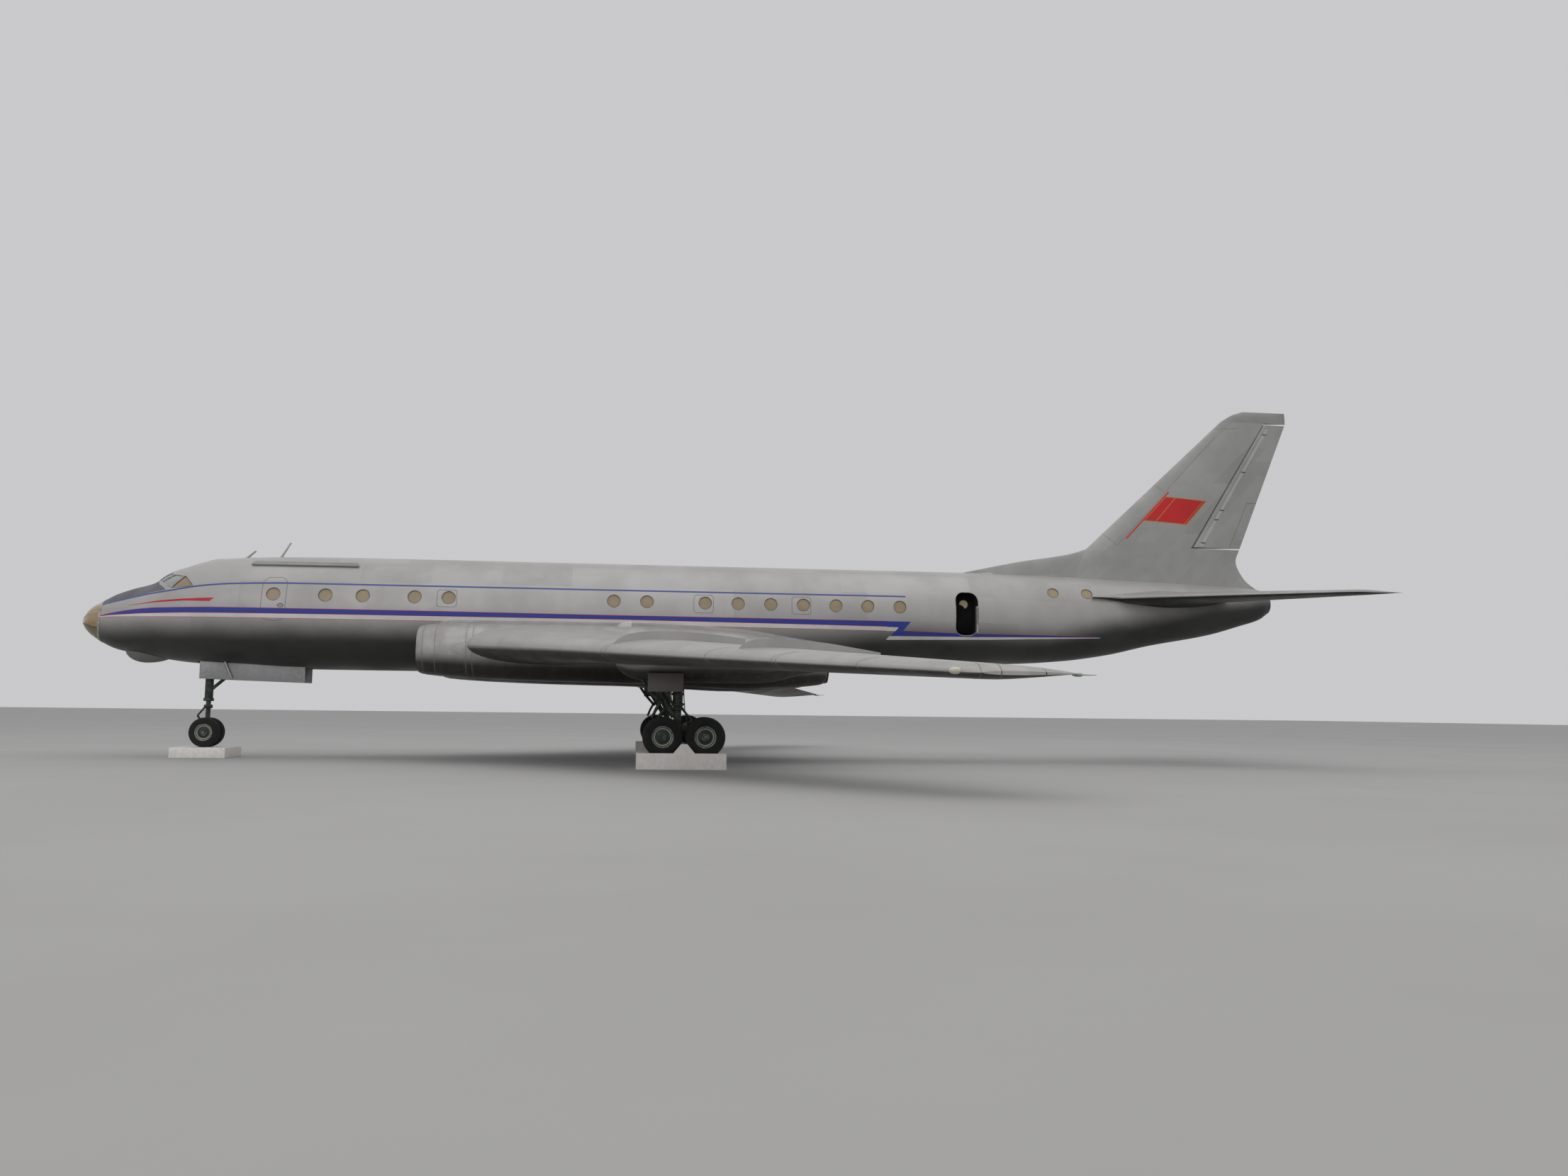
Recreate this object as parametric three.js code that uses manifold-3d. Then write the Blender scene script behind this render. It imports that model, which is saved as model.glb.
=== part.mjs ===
// Narrow body twin-jet airliner of the 1950s, parked on three white plinths.
// Millimetres, +X aft, +Y starboard, +Z up. Stations are measured aft of the nose tip and heights from the
// ground under the plinths; the group is moved so that the origin lies on the ground at mid length.
import * as THREE from "three";
import { mergeVertices } from "three/addons/utils/BufferGeometryUtils.js";
import Module from "manifold-3d";

const wasm = await Module();
wasm.setup();

// Driving dimensions
const LENGTH = 38850;
const BODY_RADIUS = 1750;
const SECTION_SIDES = 32;
const NACELLE_SIDES = 24;
const POD_SIDES = 20;
const JOINT_GAP = 0.3; // between pieces that touch
const RUN_GAP = 8; // round the nose of a moving surface
const LUG_GAP = 0.6; // at a hinge lug

const WHEEL_TRACK = 11320;
const BOGIE_WHEELBASE = 1150;
const BOGIE_X = 18025;
const MAIN_HUB_Z = 857;
const MAIN_TYRE = { radius: 545, width: 330, rim: 310 };
const MAIN_TWIN = 750; // between the two tyres' middles
const NOSE_GEAR_X = 3750;
const NOSE_TYRE = { radius: 445, width: 275, rim: 250 };
const NOSE_TWIN = 420;
const AXLE_RADIUS = 60;
const BORE_RADIUS = 60.9;

const PLINTH_TOP = 430;
const TROUGH_Z = MAIN_HUB_Z - MAIN_TYRE.radius - JOINT_GAP;
const NOSE_HUB_Z = TROUGH_Z + JOINT_GAP + NOSE_TYRE.radius;
const MAIN_Y = WHEEL_TRACK / 2;

const DOORWAY = { x0: 26700, x1: 27450, z0: 4050, z1: 5360, depth: 900 };
const FRONT_DOOR = { x0: 5680, x1: 6320, z0: 4120, z1: 5380, thick: 90, gap: 5 };
const NOSE_BAY = { x0: 3480, x1: 6660, halfWidth: 400, top: 3750 };
const NOSE_SPLIT = 6900;
const TAIL_SPLIT = 25900;
const GLAZING_END = 500;
const COCKPIT = { x0: 2130, x1: 3420, z0: 5040 };

// Body sections. Columns: station, top, bottom, half width
const BODY = [
  [500, 4645, 3500, 590],
  [1020, 4930, 3245, 850],
  [1430, 5080, 3150, 1010],
  [2130, 5300, 3020, 1230],
  [2560, 5620, 2950, 1350],
  [3080, 5820, 2880, 1470],
  [3670, 6010, 2835, 1570],
  [4800, 6130, 2785, 1685],
  [6500, 6185, 2712, 1740],
  [8200, 6206, 2706, 1750],
  [20000, 6206, 2706, 1750],
  [22500, 6206, 2850, 1745],
  [25000, 6206, 3150, 1690],
  [27400, 6203, 3180, 1560],
  [29100, 6180, 3220, 1440],
  [30800, 6150, 3340, 1300],
  [32300, 6110, 3560, 1150],
  [33700, 6070, 3880, 980],
  [35900, 5990, 4300, 690],
  [37000, 5940, 4620, 520],
  [37700, 5860, 4850, 390],
  [38000, 5700, 5060, 250],
];
const TAIL_TIP = [38080, 5380];
const GLAZING = [
  [15, 4170, 3960, 110],
  [90, 4310, 3850, 240],
  [210, 4450, 3720, 390],
  [340, 4565, 3610, 500],
  [500, 4645, 3500, 590],
];
const NOSE_TIP = [0, 4065];

// Lifting surfaces. Columns: span position, leading edge, trailing edge, lift (height or offset), thickness
const WING = [
  [2900, 11380, 19670, 3430, 1150],
  [6000, 14240, 19670, 3205, 750],
  [17000, 22690, 24990, 2378, 300],
  [17270, 23150, 25060, 2345, 190],
];
const TAILPLANE = [
  [450, 31550, 36150, 5396, 440],
  [6150, 37250, 38780, 5226, 150],
  [6300, 37620, 38830, 5222, 50],
];
const FIN = [
  [5700, 30130, 37900, 0, 660],
  [6230, 30700, 37200, 0, 620],
  [6830, 31340, 36930, 0, 570],
  [7250, 31790, 37080, 0, 540],
  [11650, 36500, 38850, 0, 230],
];
const FIN_CAP = [
  [11650, 36500, 38850, 0, 230],
  [11900, 36880, 38850, 0, 190],
  [12040, 37300, 38830, 0, 80],
];
// Long dorsal ridge ahead of the fin. Columns: station, top, half width
const DORSAL = [
  [27440, 6230, 25],
  [29380, 6640, 130],
  [31050, 6930, 170],
  [32600, 7500, 190],
];
const CHORD_POINTS = [0, 0.012, 0.05, 0.13, 0.28, 0.45, 0.62, 0.8, 1];

// Control surfaces: hinge as a fraction of the chord, span limits, and the gaps at their two ends
const RUDDER = { hinge: 0.7, s0: 7262, s1: 11600, gap0: 46, gap1: 60, lugs: [7900, 9400, 10900] };
const ELEVATOR = { hinge: 0.7, s0: 960, s1: 5900, gap0: 38, gap1: 45, lugs: [1500, 3400, 5300] };
const AILERON = { hinge: 0.75, s0: 11660, s1: 16600, gap0: 30, gap1: 40, lugs: [12400, 14100, 15800] };
const FLAPS = [
  ["flap_inner", 3460, 5040],
  ["flap_outer", 6330, 11560],
];
const FLAP_HINGE = 0.76;
// Wing fences: span position, and stations and heights over the skin along the top edge
const FENCES = [
  [8100, [[16100, 5], [16290, 120], [16620, 180], [17110, 205], [17870, 215], [18980, 220], [19480, 200]]],
  [11596, [[19010, 5], [19190, 130], [19410, 180], [19860, 195], [20960, 200], [21700, 175], [22320, 160]]],
];

// Engine nacelle sections. Columns: station, top, bottom, inner side, outer side
const NACELLE = [
  [10400, 3960, 2590, 1500, 3260],
  [10560, 4010, 2550, 1450, 3330],
  [11400, 4060, 2480, 1400, 3400],
  [13560, 4080, 2400, 1400, 3440],
  [16770, 4080, 2345, 1400, 3460],
  [18200, 4040, 2290, 1400, 3450],
  [19730, 3950, 2230, 1400, 3420],
  [20600, 3820, 2255, 1400, 3380],
  [21380, 3640, 2295, 1400, 3330],
  [22380, 3430, 2400, 1420, 3220],
];
const DUCT_Y = 2540;
// Air duct through the nacelle, falling towards its outlet. Columns: station, radius, height
const DUCT = [
  [10300, 600, 3260],
  [10480, 545, 3260],
  [13200, 560, 3230],
  [14100, 740, 3200],
  [19300, 740, 3090],
  [20600, 520, 2990],
  [22500, 440, 2915],
];
const ENGINE = { x0: 14300, x1: 19200, radius: 660 };

// Undercarriage fairing behind the wing. Columns: station, top, bottom, half width
const POD = [
  [16230, 2960, 2680, 220],
  [16500, 3060, 2480, 400],
  [16900, 3200, 2370, 540],
  [17500, 3400, 2335, 620],
  [18400, 3530, 2330, 650],
  [19800, 3560, 2335, 650],
  [20500, 3520, 2400, 610],
  [21150, 3420, 2560, 540],
  [22000, 3250, 2720, 400],
  [22900, 3070, 2830, 220],
];
const POD_FRONT = [16140, 2820];
const POD_END = [23700, 2920];

const LEG = { x: 17850, radius: 140, z1: 2420 };
const LEG_DOOR = { x0: 17020, x1: 17980, z0: 2070, z1: 2500, y: 6230, thick: 30 };
const PLINTH = { x0: 16750, x1: 19160, y0: 4920, y1: 6400, humpBase: 290, humpTop: 80, humpZ: 680 };
const NOSE_PLINTH = { halfLength: 800, halfWidth: 800 };

const COLOURS = {
  upper: [0xb4b2ae, 0.42, 0.35],
  belly: [0x8e8f8d, 0.45, 0.4],
  metal: [0xa5a6a6, 0.35, 0.7],
  cover: [0x9a7f55, 0.6, 0],
  glass: [0x5a6460, 0.15, 0],
  gear: [0x2c332e, 0.6, 0.3],
  rubber: [0x171717, 0.85, 0],
  plinth: [0xd6d5cf, 0.8, 0],
  dark: [0x55585a, 0.5, 0.3],
  tip: [0x6f7d76, 0.5, 0.1],
};

const aircraft = new THREE.Group();
aircraft.position.x = -LENGTH / 2;

// Closed meshes and solids
function toSolid(geometry) {
  const bare = geometry.clone();
  bare.deleteAttribute("normal");
  bare.deleteAttribute("uv");
  const merged = mergeVertices(bare, 1e-3);
  const triVerts = new Uint32Array(merged.index.array);
  const vertProperties = new Float32Array(merged.attributes.position.array);
  return new wasm.Manifold(new wasm.Mesh({ numProp: 3, vertProperties, triVerts }));
}

function toGeometry(solid) {
  const mesh = solid.getMesh();
  const geometry = new THREE.BufferGeometry();
  geometry.setAttribute("position", new THREE.BufferAttribute(mesh.vertProperties, 3));
  geometry.setIndex(new THREE.BufferAttribute(mesh.triVerts, 1));
  geometry.computeVertexNormals();
  return geometry;
}

function add(name, solid, colour, side = 1) {
  const [color, roughness, metalness] = COLOURS[colour];
  const material = new THREE.MeshStandardMaterial({ color, roughness, metalness });
  const mesh = new THREE.Mesh(toGeometry(solid), material);
  mesh.name = name;
  mesh.scale.y = side;
  aircraft.add(mesh);
}

function centreOf(ring) {
  const sum = ring.reduce((total, p) => total.add(p), new THREE.Vector3());
  return sum.divideScalar(ring.length);
}

// Skin through closed rings with equal numbers of points, its ends closed by fans
function loft(rings, firstTip = centreOf(rings[0]), lastTip = centreOf(rings.at(-1))) {
  const count = rings[0].length;
  const points = [...rings.flat(), firstTip, lastTip];
  const faces = [];
  for (let r = 0; r + 1 < rings.length; r++) {
    for (let i = 0; i < count; i++) {
      const a = r * count + i;
      const b = r * count + ((i + 1) % count);
      faces.push([a, b, a + count], [b, b + count, a + count]);
    }
  }
  const last = (rings.length - 1) * count;
  for (let i = 0; i < count; i++) {
    const next = (i + 1) % count;
    faces.push([next, i, points.length - 2]);
    faces.push([last + i, last + next, points.length - 1]);
  }
  const volume = faces.reduce((sum, [a, b, c]) => {
    return sum + points[a].dot(new THREE.Vector3().crossVectors(points[b], points[c]));
  }, 0);
  const turned = volume < 0 ? faces.map(([a, b, c]) => [a, c, b]) : faces;
  const geometry = new THREE.BufferGeometry().setFromPoints(points);
  geometry.setIndex(turned.flat());
  return toSolid(geometry);
}

function box(x0, x1, y0, y1, z0, z1) {
  const geometry = new THREE.BoxGeometry(x1 - x0, y1 - y0, z1 - z0);
  geometry.translate((x0 + x1) / 2, (y0 + y1) / 2, (z0 + z1) / 2);
  return toSolid(geometry);
}

// Round bar between two points
function bar(from, to, radius, sides = 12) {
  const start = new THREE.Vector3(...from);
  const end = new THREE.Vector3(...to);
  const geometry = new THREE.CylinderGeometry(radius, radius, start.distanceTo(end), sides);
  const turn = new THREE.Quaternion();
  turn.setFromUnitVectors(new THREE.Vector3(0, 1, 0), end.clone().sub(start).normalize());
  geometry.applyQuaternion(turn);
  geometry.translate(...start.add(end).multiplyScalar(0.5).toArray());
  return toSolid(geometry);
}

// Outline in the XZ plane, given a thickness across Y
function plate(outline, y0, y1) {
  const shape = new THREE.Shape(outline.map(([x, z]) => new THREE.Vector2(x, z)));
  const geometry = new THREE.ExtrudeGeometry(shape, { depth: y1 - y0, bevelEnabled: false });
  geometry.rotateX(Math.PI / 2);
  geometry.translate(0, y1, 0);
  return toSolid(geometry);
}

// Values of a table at a position in its first column
function rowAt(table, s) {
  let i = 0;
  while (i < table.length - 2 && s > table[i + 1][0]) i++;
  const [from, to] = [table[i], table[i + 1]];
  const t = (s - from[0]) / (to[0] - from[0]);
  return from.map((value, column) => value + t * (to[column] - value));
}

// Body of oval sections
function ovalRing([x, top, bottom, halfWidth], grow, y = 0, sides = SECTION_SIDES) {
  const ring = [];
  for (let i = 0; i < sides; i++) {
    const angle = (2 * Math.PI * i) / sides;
    const across = y + (halfWidth + grow) * Math.sin(angle);
    const up = (top + bottom) / 2 + ((top - bottom) / 2 + grow) * Math.cos(angle);
    ring.push(new THREE.Vector3(x, across, up));
  }
  return ring;
}

function bodyShape(grow = 0) {
  const rings = BODY.map((row) => ovalRing(row, grow));
  return loft(rings, undefined, new THREE.Vector3(TAIL_TIP[0] + grow, 0, TAIL_TIP[1]));
}

const body = bodyShape();
const bodyGrown = bodyShape(JOINT_GAP);

// Boxed part of a solid between two stations
function slice(solid, x0, x1) {
  return solid.intersect(box(x0, x1, -9000, 9000, 0, 15000));
}

// Opening with round corners in the body's side, running in from the port side
function doorBlock({ x0, x1, z0, z1 }, y0, y1, grow = 0) {
  const radius = 160 + grow;
  const shape = new THREE.Shape();
  const [left, right, low, high] = [x0 - grow, x1 + grow, z0 - grow, z1 + grow];
  shape.moveTo(left + radius, low);
  shape.lineTo(right - radius, low);
  shape.absarc(right - radius, low + radius, radius, -Math.PI / 2, 0);
  shape.lineTo(right, high - radius);
  shape.absarc(right - radius, high - radius, radius, 0, Math.PI / 2);
  shape.lineTo(left + radius, high);
  shape.absarc(left + radius, high - radius, radius, Math.PI / 2, Math.PI);
  shape.lineTo(left, low + radius);
  shape.absarc(left + radius, low + radius, radius, Math.PI, 1.5 * Math.PI);
  const extrusion = { depth: y1 - y0, bevelEnabled: false, curveSegments: 4 };
  const geometry = new THREE.ExtrudeGeometry(shape, extrusion);
  geometry.rotateX(Math.PI / 2);
  geometry.translate(0, y1, 0);
  return toSolid(geometry);
}

// Lifting surfaces
function halfThickness(f) {
  const root = 0.2969 * Math.sqrt(f);
  return 5 * (root - 0.126 * f - 0.3516 * f ** 2 + 0.2843 * f ** 3 - 0.1015 * f ** 4);
}

// A span position's section as points of chord and half thickness; flat ends where it starts or stops short
function profile([s, le, te, lift, thick], f0, f1, grow) {
  const inside = CHORD_POINTS.filter((f) => f > f0 && f < f1);
  const fractions = [f0, ...inside, f1];
  const half = (f) => Math.max(thick * halfThickness(f), 4) + grow;
  const along = (f) => le + f * (te - le) + (f === 0 ? -grow : 0) + (f === 1 ? grow : 0);
  const upper = fractions.map((f) => [along(f), lift, half(f), s]);
  const lower = fractions.map((f) => [along(f), lift, -half(f), s]);
  return [...upper, ...lower.reverse()];
}

const placeFlat = ([x, lift, t, s]) => new THREE.Vector3(x, s, lift + t);
const placeUpright = ([x, , t, s]) => new THREE.Vector3(x, t, s);

function spanRows(table, s0, s1) {
  const middle = table.filter((row) => row[0] > s0 && row[0] < s1);
  return [rowAt(table, s0), ...middle, rowAt(table, s1)];
}

function surface(table, place, s0, s1, grow = 0, f0 = 0, f1 = 1) {
  const rows = spanRows(table, s0, s1);
  return loft(rows.map((row) => profile(row, f0, f1, grow).map(place)));
}

// Slope of the hinge line in stations per unit of span
function hingeSlope(table, { hinge, s0, s1 }) {
  const at = (s) => rowAt(table, s)[1] * (1 - hinge) + rowAt(table, s)[2] * hinge;
  return (at(s1) - at(s0)) / (s1 - s0);
}

// Nose radius of a control surface is its half thickness at the hinge
function noseReach(row, control, slope) {
  return row[4] * halfThickness(control.hinge) * Math.hypot(1, slope);
}

function controlSurface(table, place, control) {
  const slope = hingeSlope(table, control);
  const rings = [control.s0, control.s1].map((s) => {
    const row = rowAt(table, s);
    const [, le, te, lift, thick] = row;
    const hingeX = le + control.hinge * (te - le);
    const reach = noseReach(row, control, slope);
    const half = thick * halfThickness(control.hinge);
    const nose = [];
    for (let i = 5; i > 0; i--) {
      const angle = (Math.PI * i) / 6 - Math.PI / 2;
      nose.push([hingeX - reach * Math.cos(angle), lift, -half * Math.sin(angle), s]);
    }
    return [...profile(row, control.hinge, 1, 0), ...nose];
  });
  return loft(rings.map((ring) => ring.map(place)));
}

// Space that a control surface moves in, taken out of the fixed surface
function controlSpace(table, place, control) {
  const slope = hingeSlope(table, control);
  const ends = [control.s0 - control.gap0, control.s1 + control.gap1];
  const rings = ends.map((s) => {
    const row = rowAt(table, s);
    const [, le, te, lift] = row;
    const front = le + control.hinge * (te - le) - noseReach(row, control, slope) - RUN_GAP;
    const back = te + 400;
    return [
      [front, lift, 500, s],
      [back, lift, 500, s],
      [back, lift, -500, s],
      [front, lift, -500, s],
    ];
  });
  return loft(rings.map((ring) => ring.map(place)));
}

// Hinge lugs that reach from the fixed surface to the control surface's nose
function hingeLugs(table, place, control) {
  const slope = hingeSlope(table, control);
  return control.lugs.map((middle) => {
    const rings = [middle - 40, middle + 40].map((s) => {
      const row = rowAt(table, s);
      const [, le, te, lift, thick] = row;
      const tip = le + control.hinge * (te - le) - noseReach(row, control, slope) - LUG_GAP;
      const half = thick * 0.08;
      return [
        [tip - 120, lift, half, s],
        [tip, lift, half, s],
        [tip, lift, -half, s],
        [tip - 120, lift, -half, s],
      ];
    });
    return loft(rings.map((ring) => ring.map(place)));
  });
}

function fixedSurface(solid, table, place, control) {
  const cut = solid.subtract(controlSpace(table, place, control));
  return hingeLugs(table, place, control).reduce((sum, lug) => sum.add(lug), cut);
}

// Body
function buildBody() {
  const tip = new THREE.Vector3(NOSE_TIP[0], 0, NOSE_TIP[1]);
  const rings = GLAZING.map((row) => ovalRing(row, 0));
  const glazing = loft(rings, tip);
  add("nose_glazing", slice(glazing, -10, GLAZING_END - JOINT_GAP), "cover");

  const { x0, x1, z0 } = COCKPIT;
  const cockpitBox = (grow) => box(x0 - grow, x1 + grow, -2000, 2000, z0 - grow, 7000);
  const bay = box(NOSE_BAY.x0, NOSE_BAY.x1, -NOSE_BAY.halfWidth, NOSE_BAY.halfWidth, 0, NOSE_BAY.top);
  const inside = bodyShape(-FRONT_DOOR.thick);
  const doorHole = doorBlock(FRONT_DOOR, -2500, 0, FRONT_DOOR.gap).subtract(inside);
  const nose = slice(body, GLAZING_END, NOSE_SPLIT - JOINT_GAP / 2)
    .subtract(cockpitBox(JOINT_GAP))
    .subtract(bay)
    .subtract(doorHole);
  add("fuselage_nose", nose, "upper");
  add("cockpit_glazing", body.intersect(cockpitBox(0)), "glass");
  const behindDoor = bodyShape(JOINT_GAP - FRONT_DOOR.thick);
  add("front_door", body.intersect(doorBlock(FRONT_DOOR, -2500, 0)).subtract(behindDoor), "upper");

  const centre = slice(body, NOSE_SPLIT + JOINT_GAP / 2, TAIL_SPLIT - JOINT_GAP / 2);
  add("fuselage_centre", centre, "upper");
  const opening = doorBlock(DOORWAY, -2500, -BODY_RADIUS + DOORWAY.depth);
  const tail = slice(body, TAIL_SPLIT + JOINT_GAP / 2, LENGTH).subtract(opening);
  add("fuselage_tail", tail, "upper");

  const dome = new THREE.SphereGeometry(1, 24, 12);
  dome.scale(620, 420, 370);
  dome.translate(1890, 0, 3215);
  add("chin_radome", toSolid(dome).subtract(bodyGrown), "belly");
}

function buildRoof() {
  const rail = plate([[5030, 5900], [8230, 5900], [8190, 6030], [5060, 6030]], -870, -760);
  add("roof_rail", rail.subtract(bodyGrown), "dark");
  const masts = [
    ["roof_mast_front", [4850, 0, 6000], [5120, 0, 6420], 18],
    ["roof_mast_rear", [5830, 0, 6050], [6130, 0, 6640], 18],
    ["belly_mast", [4130, -500, 2950], [4420, -500, 2330], 18],
  ];
  for (const [name, from, to, radius] of masts) {
    add(name, bar(from, to, radius, 8).subtract(bodyGrown), "metal");
  }
}

function buildFin() {
  const whole = surface(FIN, placeUpright, FIN[0][0], FIN.at(-1)[0]);
  const ridge = loft(
    DORSAL.map(([x, top, half]) => [
      new THREE.Vector3(x, 0, top),
      new THREE.Vector3(x, half, top - 260),
      new THREE.Vector3(x, half * 1.6, 5850),
      new THREE.Vector3(x, -half * 1.6, 5850),
      new THREE.Vector3(x, -half, top - 260),
    ]),
  );
  const fixed = fixedSurface(whole, FIN, placeUpright, RUDDER);
  add("fin", fixed.add(ridge).subtract(bodyGrown), "upper");
  add("rudder", controlSurface(FIN, placeUpright, RUDDER), "upper");
  const capBase = FIN_CAP[0][0] + JOINT_GAP;
  add("fin_tip_cap", surface(FIN_CAP, placeUpright, capBase, FIN_CAP.at(-1)[0]), "tip");
}

function buildTailplane(side, name) {
  const whole = surface(TAILPLANE, placeFlat, TAILPLANE[0][0], TAILPLANE.at(-1)[0]);
  const fixed = fixedSurface(whole, TAILPLANE, placeFlat, ELEVATOR).subtract(bodyGrown);
  add("tailplane_" + name, fixed, "belly", side);
  add("elevator_" + name, controlSurface(TAILPLANE, placeFlat, ELEVATOR), "belly", side);
}

// Nacelle
function nacelleRing([x, top, bottom, inner, outer], grow) {
  const ring = [];
  const [middleY, middleZ] = [(inner + outer) / 2, (top + bottom) / 2];
  const [halfY, halfZ] = [(outer - inner) / 2 + grow, (top - bottom) / 2 + grow];
  for (let i = 0; i < NACELLE_SIDES; i++) {
    const angle = (2 * Math.PI * i) / NACELLE_SIDES;
    const squared = (v) => Math.sign(v) * Math.abs(v) ** 0.8;
    const across = middleY + halfY * squared(Math.sin(angle));
    ring.push(new THREE.Vector3(x, across, middleZ + halfZ * squared(Math.cos(angle))));
  }
  return ring;
}

const nacelleShape = (grow = 0) => loft(NACELLE.map((row) => nacelleRing(row, grow)));

function buildNacelle(side, name) {
  const duct = loft(DUCT.map(([x, r, z]) => ovalRing([x, z + r, z - r, r], 0, DUCT_Y, 24)));
  const shell = nacelleShape().subtract(bodyGrown).subtract(duct);
  const rails = [-1, 1].map((sign) => {
    const y = DUCT_Y + sign * 450;
    return box(15000, 18800, y - 60, y + 60, 2400, 2750);
  });
  const engineShape = (grow) => {
    const rings = [ENGINE.x0 - grow, ENGINE.x1 + grow].map((x) => {
      const [r, z] = [ENGINE.radius + grow, rowAt(DUCT, x)[2]];
      return ovalRing([x, z + r, z - r, r], 0, DUCT_Y, 24);
    });
    return loft(rings);
  };
  const engine = engineShape(0);
  const engineGrown = engineShape(JOINT_GAP);
  const carried = rails.reduce((sum, rail) => sum.add(rail.intersect(nacelleShape())), shell);
  add("nacelle_" + name, carried.subtract(engineGrown), "belly", side);
  add("engine_" + name, engine, "dark", side);
}

// Undercarriage fairing
function podShape(grow = 0) {
  const rings = POD.map((row) => ovalRing(row, grow, MAIN_Y, POD_SIDES));
  const front = new THREE.Vector3(POD_FRONT[0] - grow, MAIN_Y, POD_FRONT[1]);
  return loft(rings, front, new THREE.Vector3(POD_END[0] + grow, MAIN_Y, POD_END[1]));
}

const wingShape = (grow = 0) => surface(WING, placeFlat, WING[0][0], WING.at(-1)[0], grow);

function buildWing(side, name) {
  const flapSpace = (s0, s1) => {
    return surface(WING, placeFlat, s0 - JOINT_GAP, s1 + JOINT_GAP, 60, FLAP_HINGE, 1);
  };
  let wing = fixedSurface(wingShape(), WING, placeFlat, AILERON).subtract(nacelleShape(JOINT_GAP));
  for (const [, s0, s1] of FLAPS) wing = wing.subtract(flapSpace(s0, s1));
  for (const [s, top] of FENCES) {
    const [, le, te, lift, thick] = rowAt(WING, s);
    const skin = (x) => lift + thick * halfThickness((x - le) / (te - le));
    const edge = top.map(([x, height]) => [x, skin(x) + height]);
    const outline = [[top[0][0], lift], [top.at(-1)[0], lift], ...edge.reverse()];
    wing = wing.add(plate(outline, s - 12, s + 12));
  }
  const pad = { x: 16400, y: 7400, radius: 70 };
  const padZ = rowAt(WING, pad.y)[3] - 420;
  wing = wing.add(bar([pad.x, pad.y, padZ], [pad.x, pad.y, padZ + 300], pad.radius, 16));
  add("wing_" + name, wing, "belly", side);
  add("aileron_" + name, controlSurface(WING, placeFlat, AILERON), "belly", side);
  const pod = podShape(JOINT_GAP);
  for (const [flap, s0, s1] of FLAPS) {
    const solid = surface(WING, placeFlat, s0, s1, 0, FLAP_HINGE, 1);
    const clear = flap === "flap_inner" ? solid.subtract(nacelleShape(JOINT_GAP)) : solid;
    const lowered = shiftAft(clear, JOINT_GAP);
    add(flap + "_" + name, lowered.subtract(pod), "belly", side);
  }
}

function shiftAft(solid, distance) {
  const geometry = toGeometry(solid);
  geometry.translate(distance, 0, 0);
  return toSolid(geometry);
}

function buildPod(side, name) {
  const legTop = bar([LEG.x, MAIN_Y, 2000], [LEG.x, MAIN_Y, LEG.z1], LEG.radius + JOINT_GAP, 20);
  add("gear_pod_" + name, podShape().subtract(wingShape(JOINT_GAP)).subtract(legTop), "belly", side);
}

// Main undercarriage
function buildMainGear(side, name) {
  const half = BOGIE_WHEELBASE / 2;
  const beamTop = MAIN_HUB_Z + 130;
  const y = MAIN_Y;
  const leg = bar([LEG.x, y, beamTop + 60], [LEG.x, y, LEG.z1 - JOINT_GAP], LEG.radius, 20);
  const foot = box(LEG.x - 150, BOGIE_X + 110, y - 110, y + 110, beamTop + JOINT_GAP, beamTop + 200);
  const brace = bar([LEG.x - 60, y, 1250], [16960, y, 2305], 55, 10);
  const link = plate([[17960, 1560], [18060, 1560], [18330, 1290], [18180, 1020], [18080, 1150]], y - 40, y + 40);
  const ring = bar([LEG.x, y, 1500], [LEG.x, y, 1620], LEG.radius + 45, 16);
  const pod = podShape(JOINT_GAP);
  const socket = bar([LEG.x, y, 2000], [LEG.x, y, LEG.z1], LEG.radius + JOINT_GAP, 20);
  const stays = foot.add(brace).add(link).add(ring).subtract(pod);
  add("main_leg_" + name, leg.add(stays.subtract(socket).add(leg)), "gear", side);

  let beam = box(BOGIE_X - half - 130, BOGIE_X + half + 130, y - 105, y + 105, MAIN_HUB_Z - 120, beamTop);
  for (const x of [BOGIE_X - half, BOGIE_X + half]) {
    beam = beam.subtract(bar([x, y - 200, MAIN_HUB_Z], [x, y + 200, MAIN_HUB_Z], BORE_RADIUS, 24));
  }
  add("bogie_" + name, beam, "gear", side);

  const door = LEG_DOOR;
  const panel = box(door.x0, door.x1, door.y, door.y + door.thick, door.z0, door.z1);
  const arms = [door.x0 + 250, door.x1 - 250].map((x) => {
    return box(x - 25, x + 25, y + 300, door.y + 5, door.z1 - 90, door.z1 - 40);
  });
  add("leg_door_" + name, panel.add(arms[0]).add(arms[1]).subtract(pod), "dark", side);

  for (const [place, x] of [["front", BOGIE_X - half], ["rear", BOGIE_X + half]]) {
    const wheels = wheelPair(MAIN_TYRE, MAIN_TWIN);
    wheels.translate(x, y, MAIN_HUB_Z);
    add("wheels_" + place + "_" + name, toSolid(wheels), "rubber", side);
  }
}

// Twin wheels and their axle as one turned shape about the Y axis, a corner of it at the bottom
function wheelPair({ radius, width, rim }, twin) {
  const half = [
    [AXLE_RADIUS, -0.42],
    [0.94 * rim, -0.3],
    [rim, -0.44],
    [0.91 * radius, -0.47],
    [radius, -0.24],
    [radius, 0.24],
    [0.91 * radius, 0.47],
    [rim, 0.44],
    [0.94 * rim, 0.3],
    [110, 0.42],
    [0, 0.42],
  ].map(([r, across]) => [r, twin / 2 + across * width]);
  const mirrored = half.map(([r, y]) => [r, -y]).reverse();
  const points = [...mirrored, ...half].map(([r, y]) => new THREE.Vector2(r, y));
  return new THREE.LatheGeometry(points, 24);
}

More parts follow.
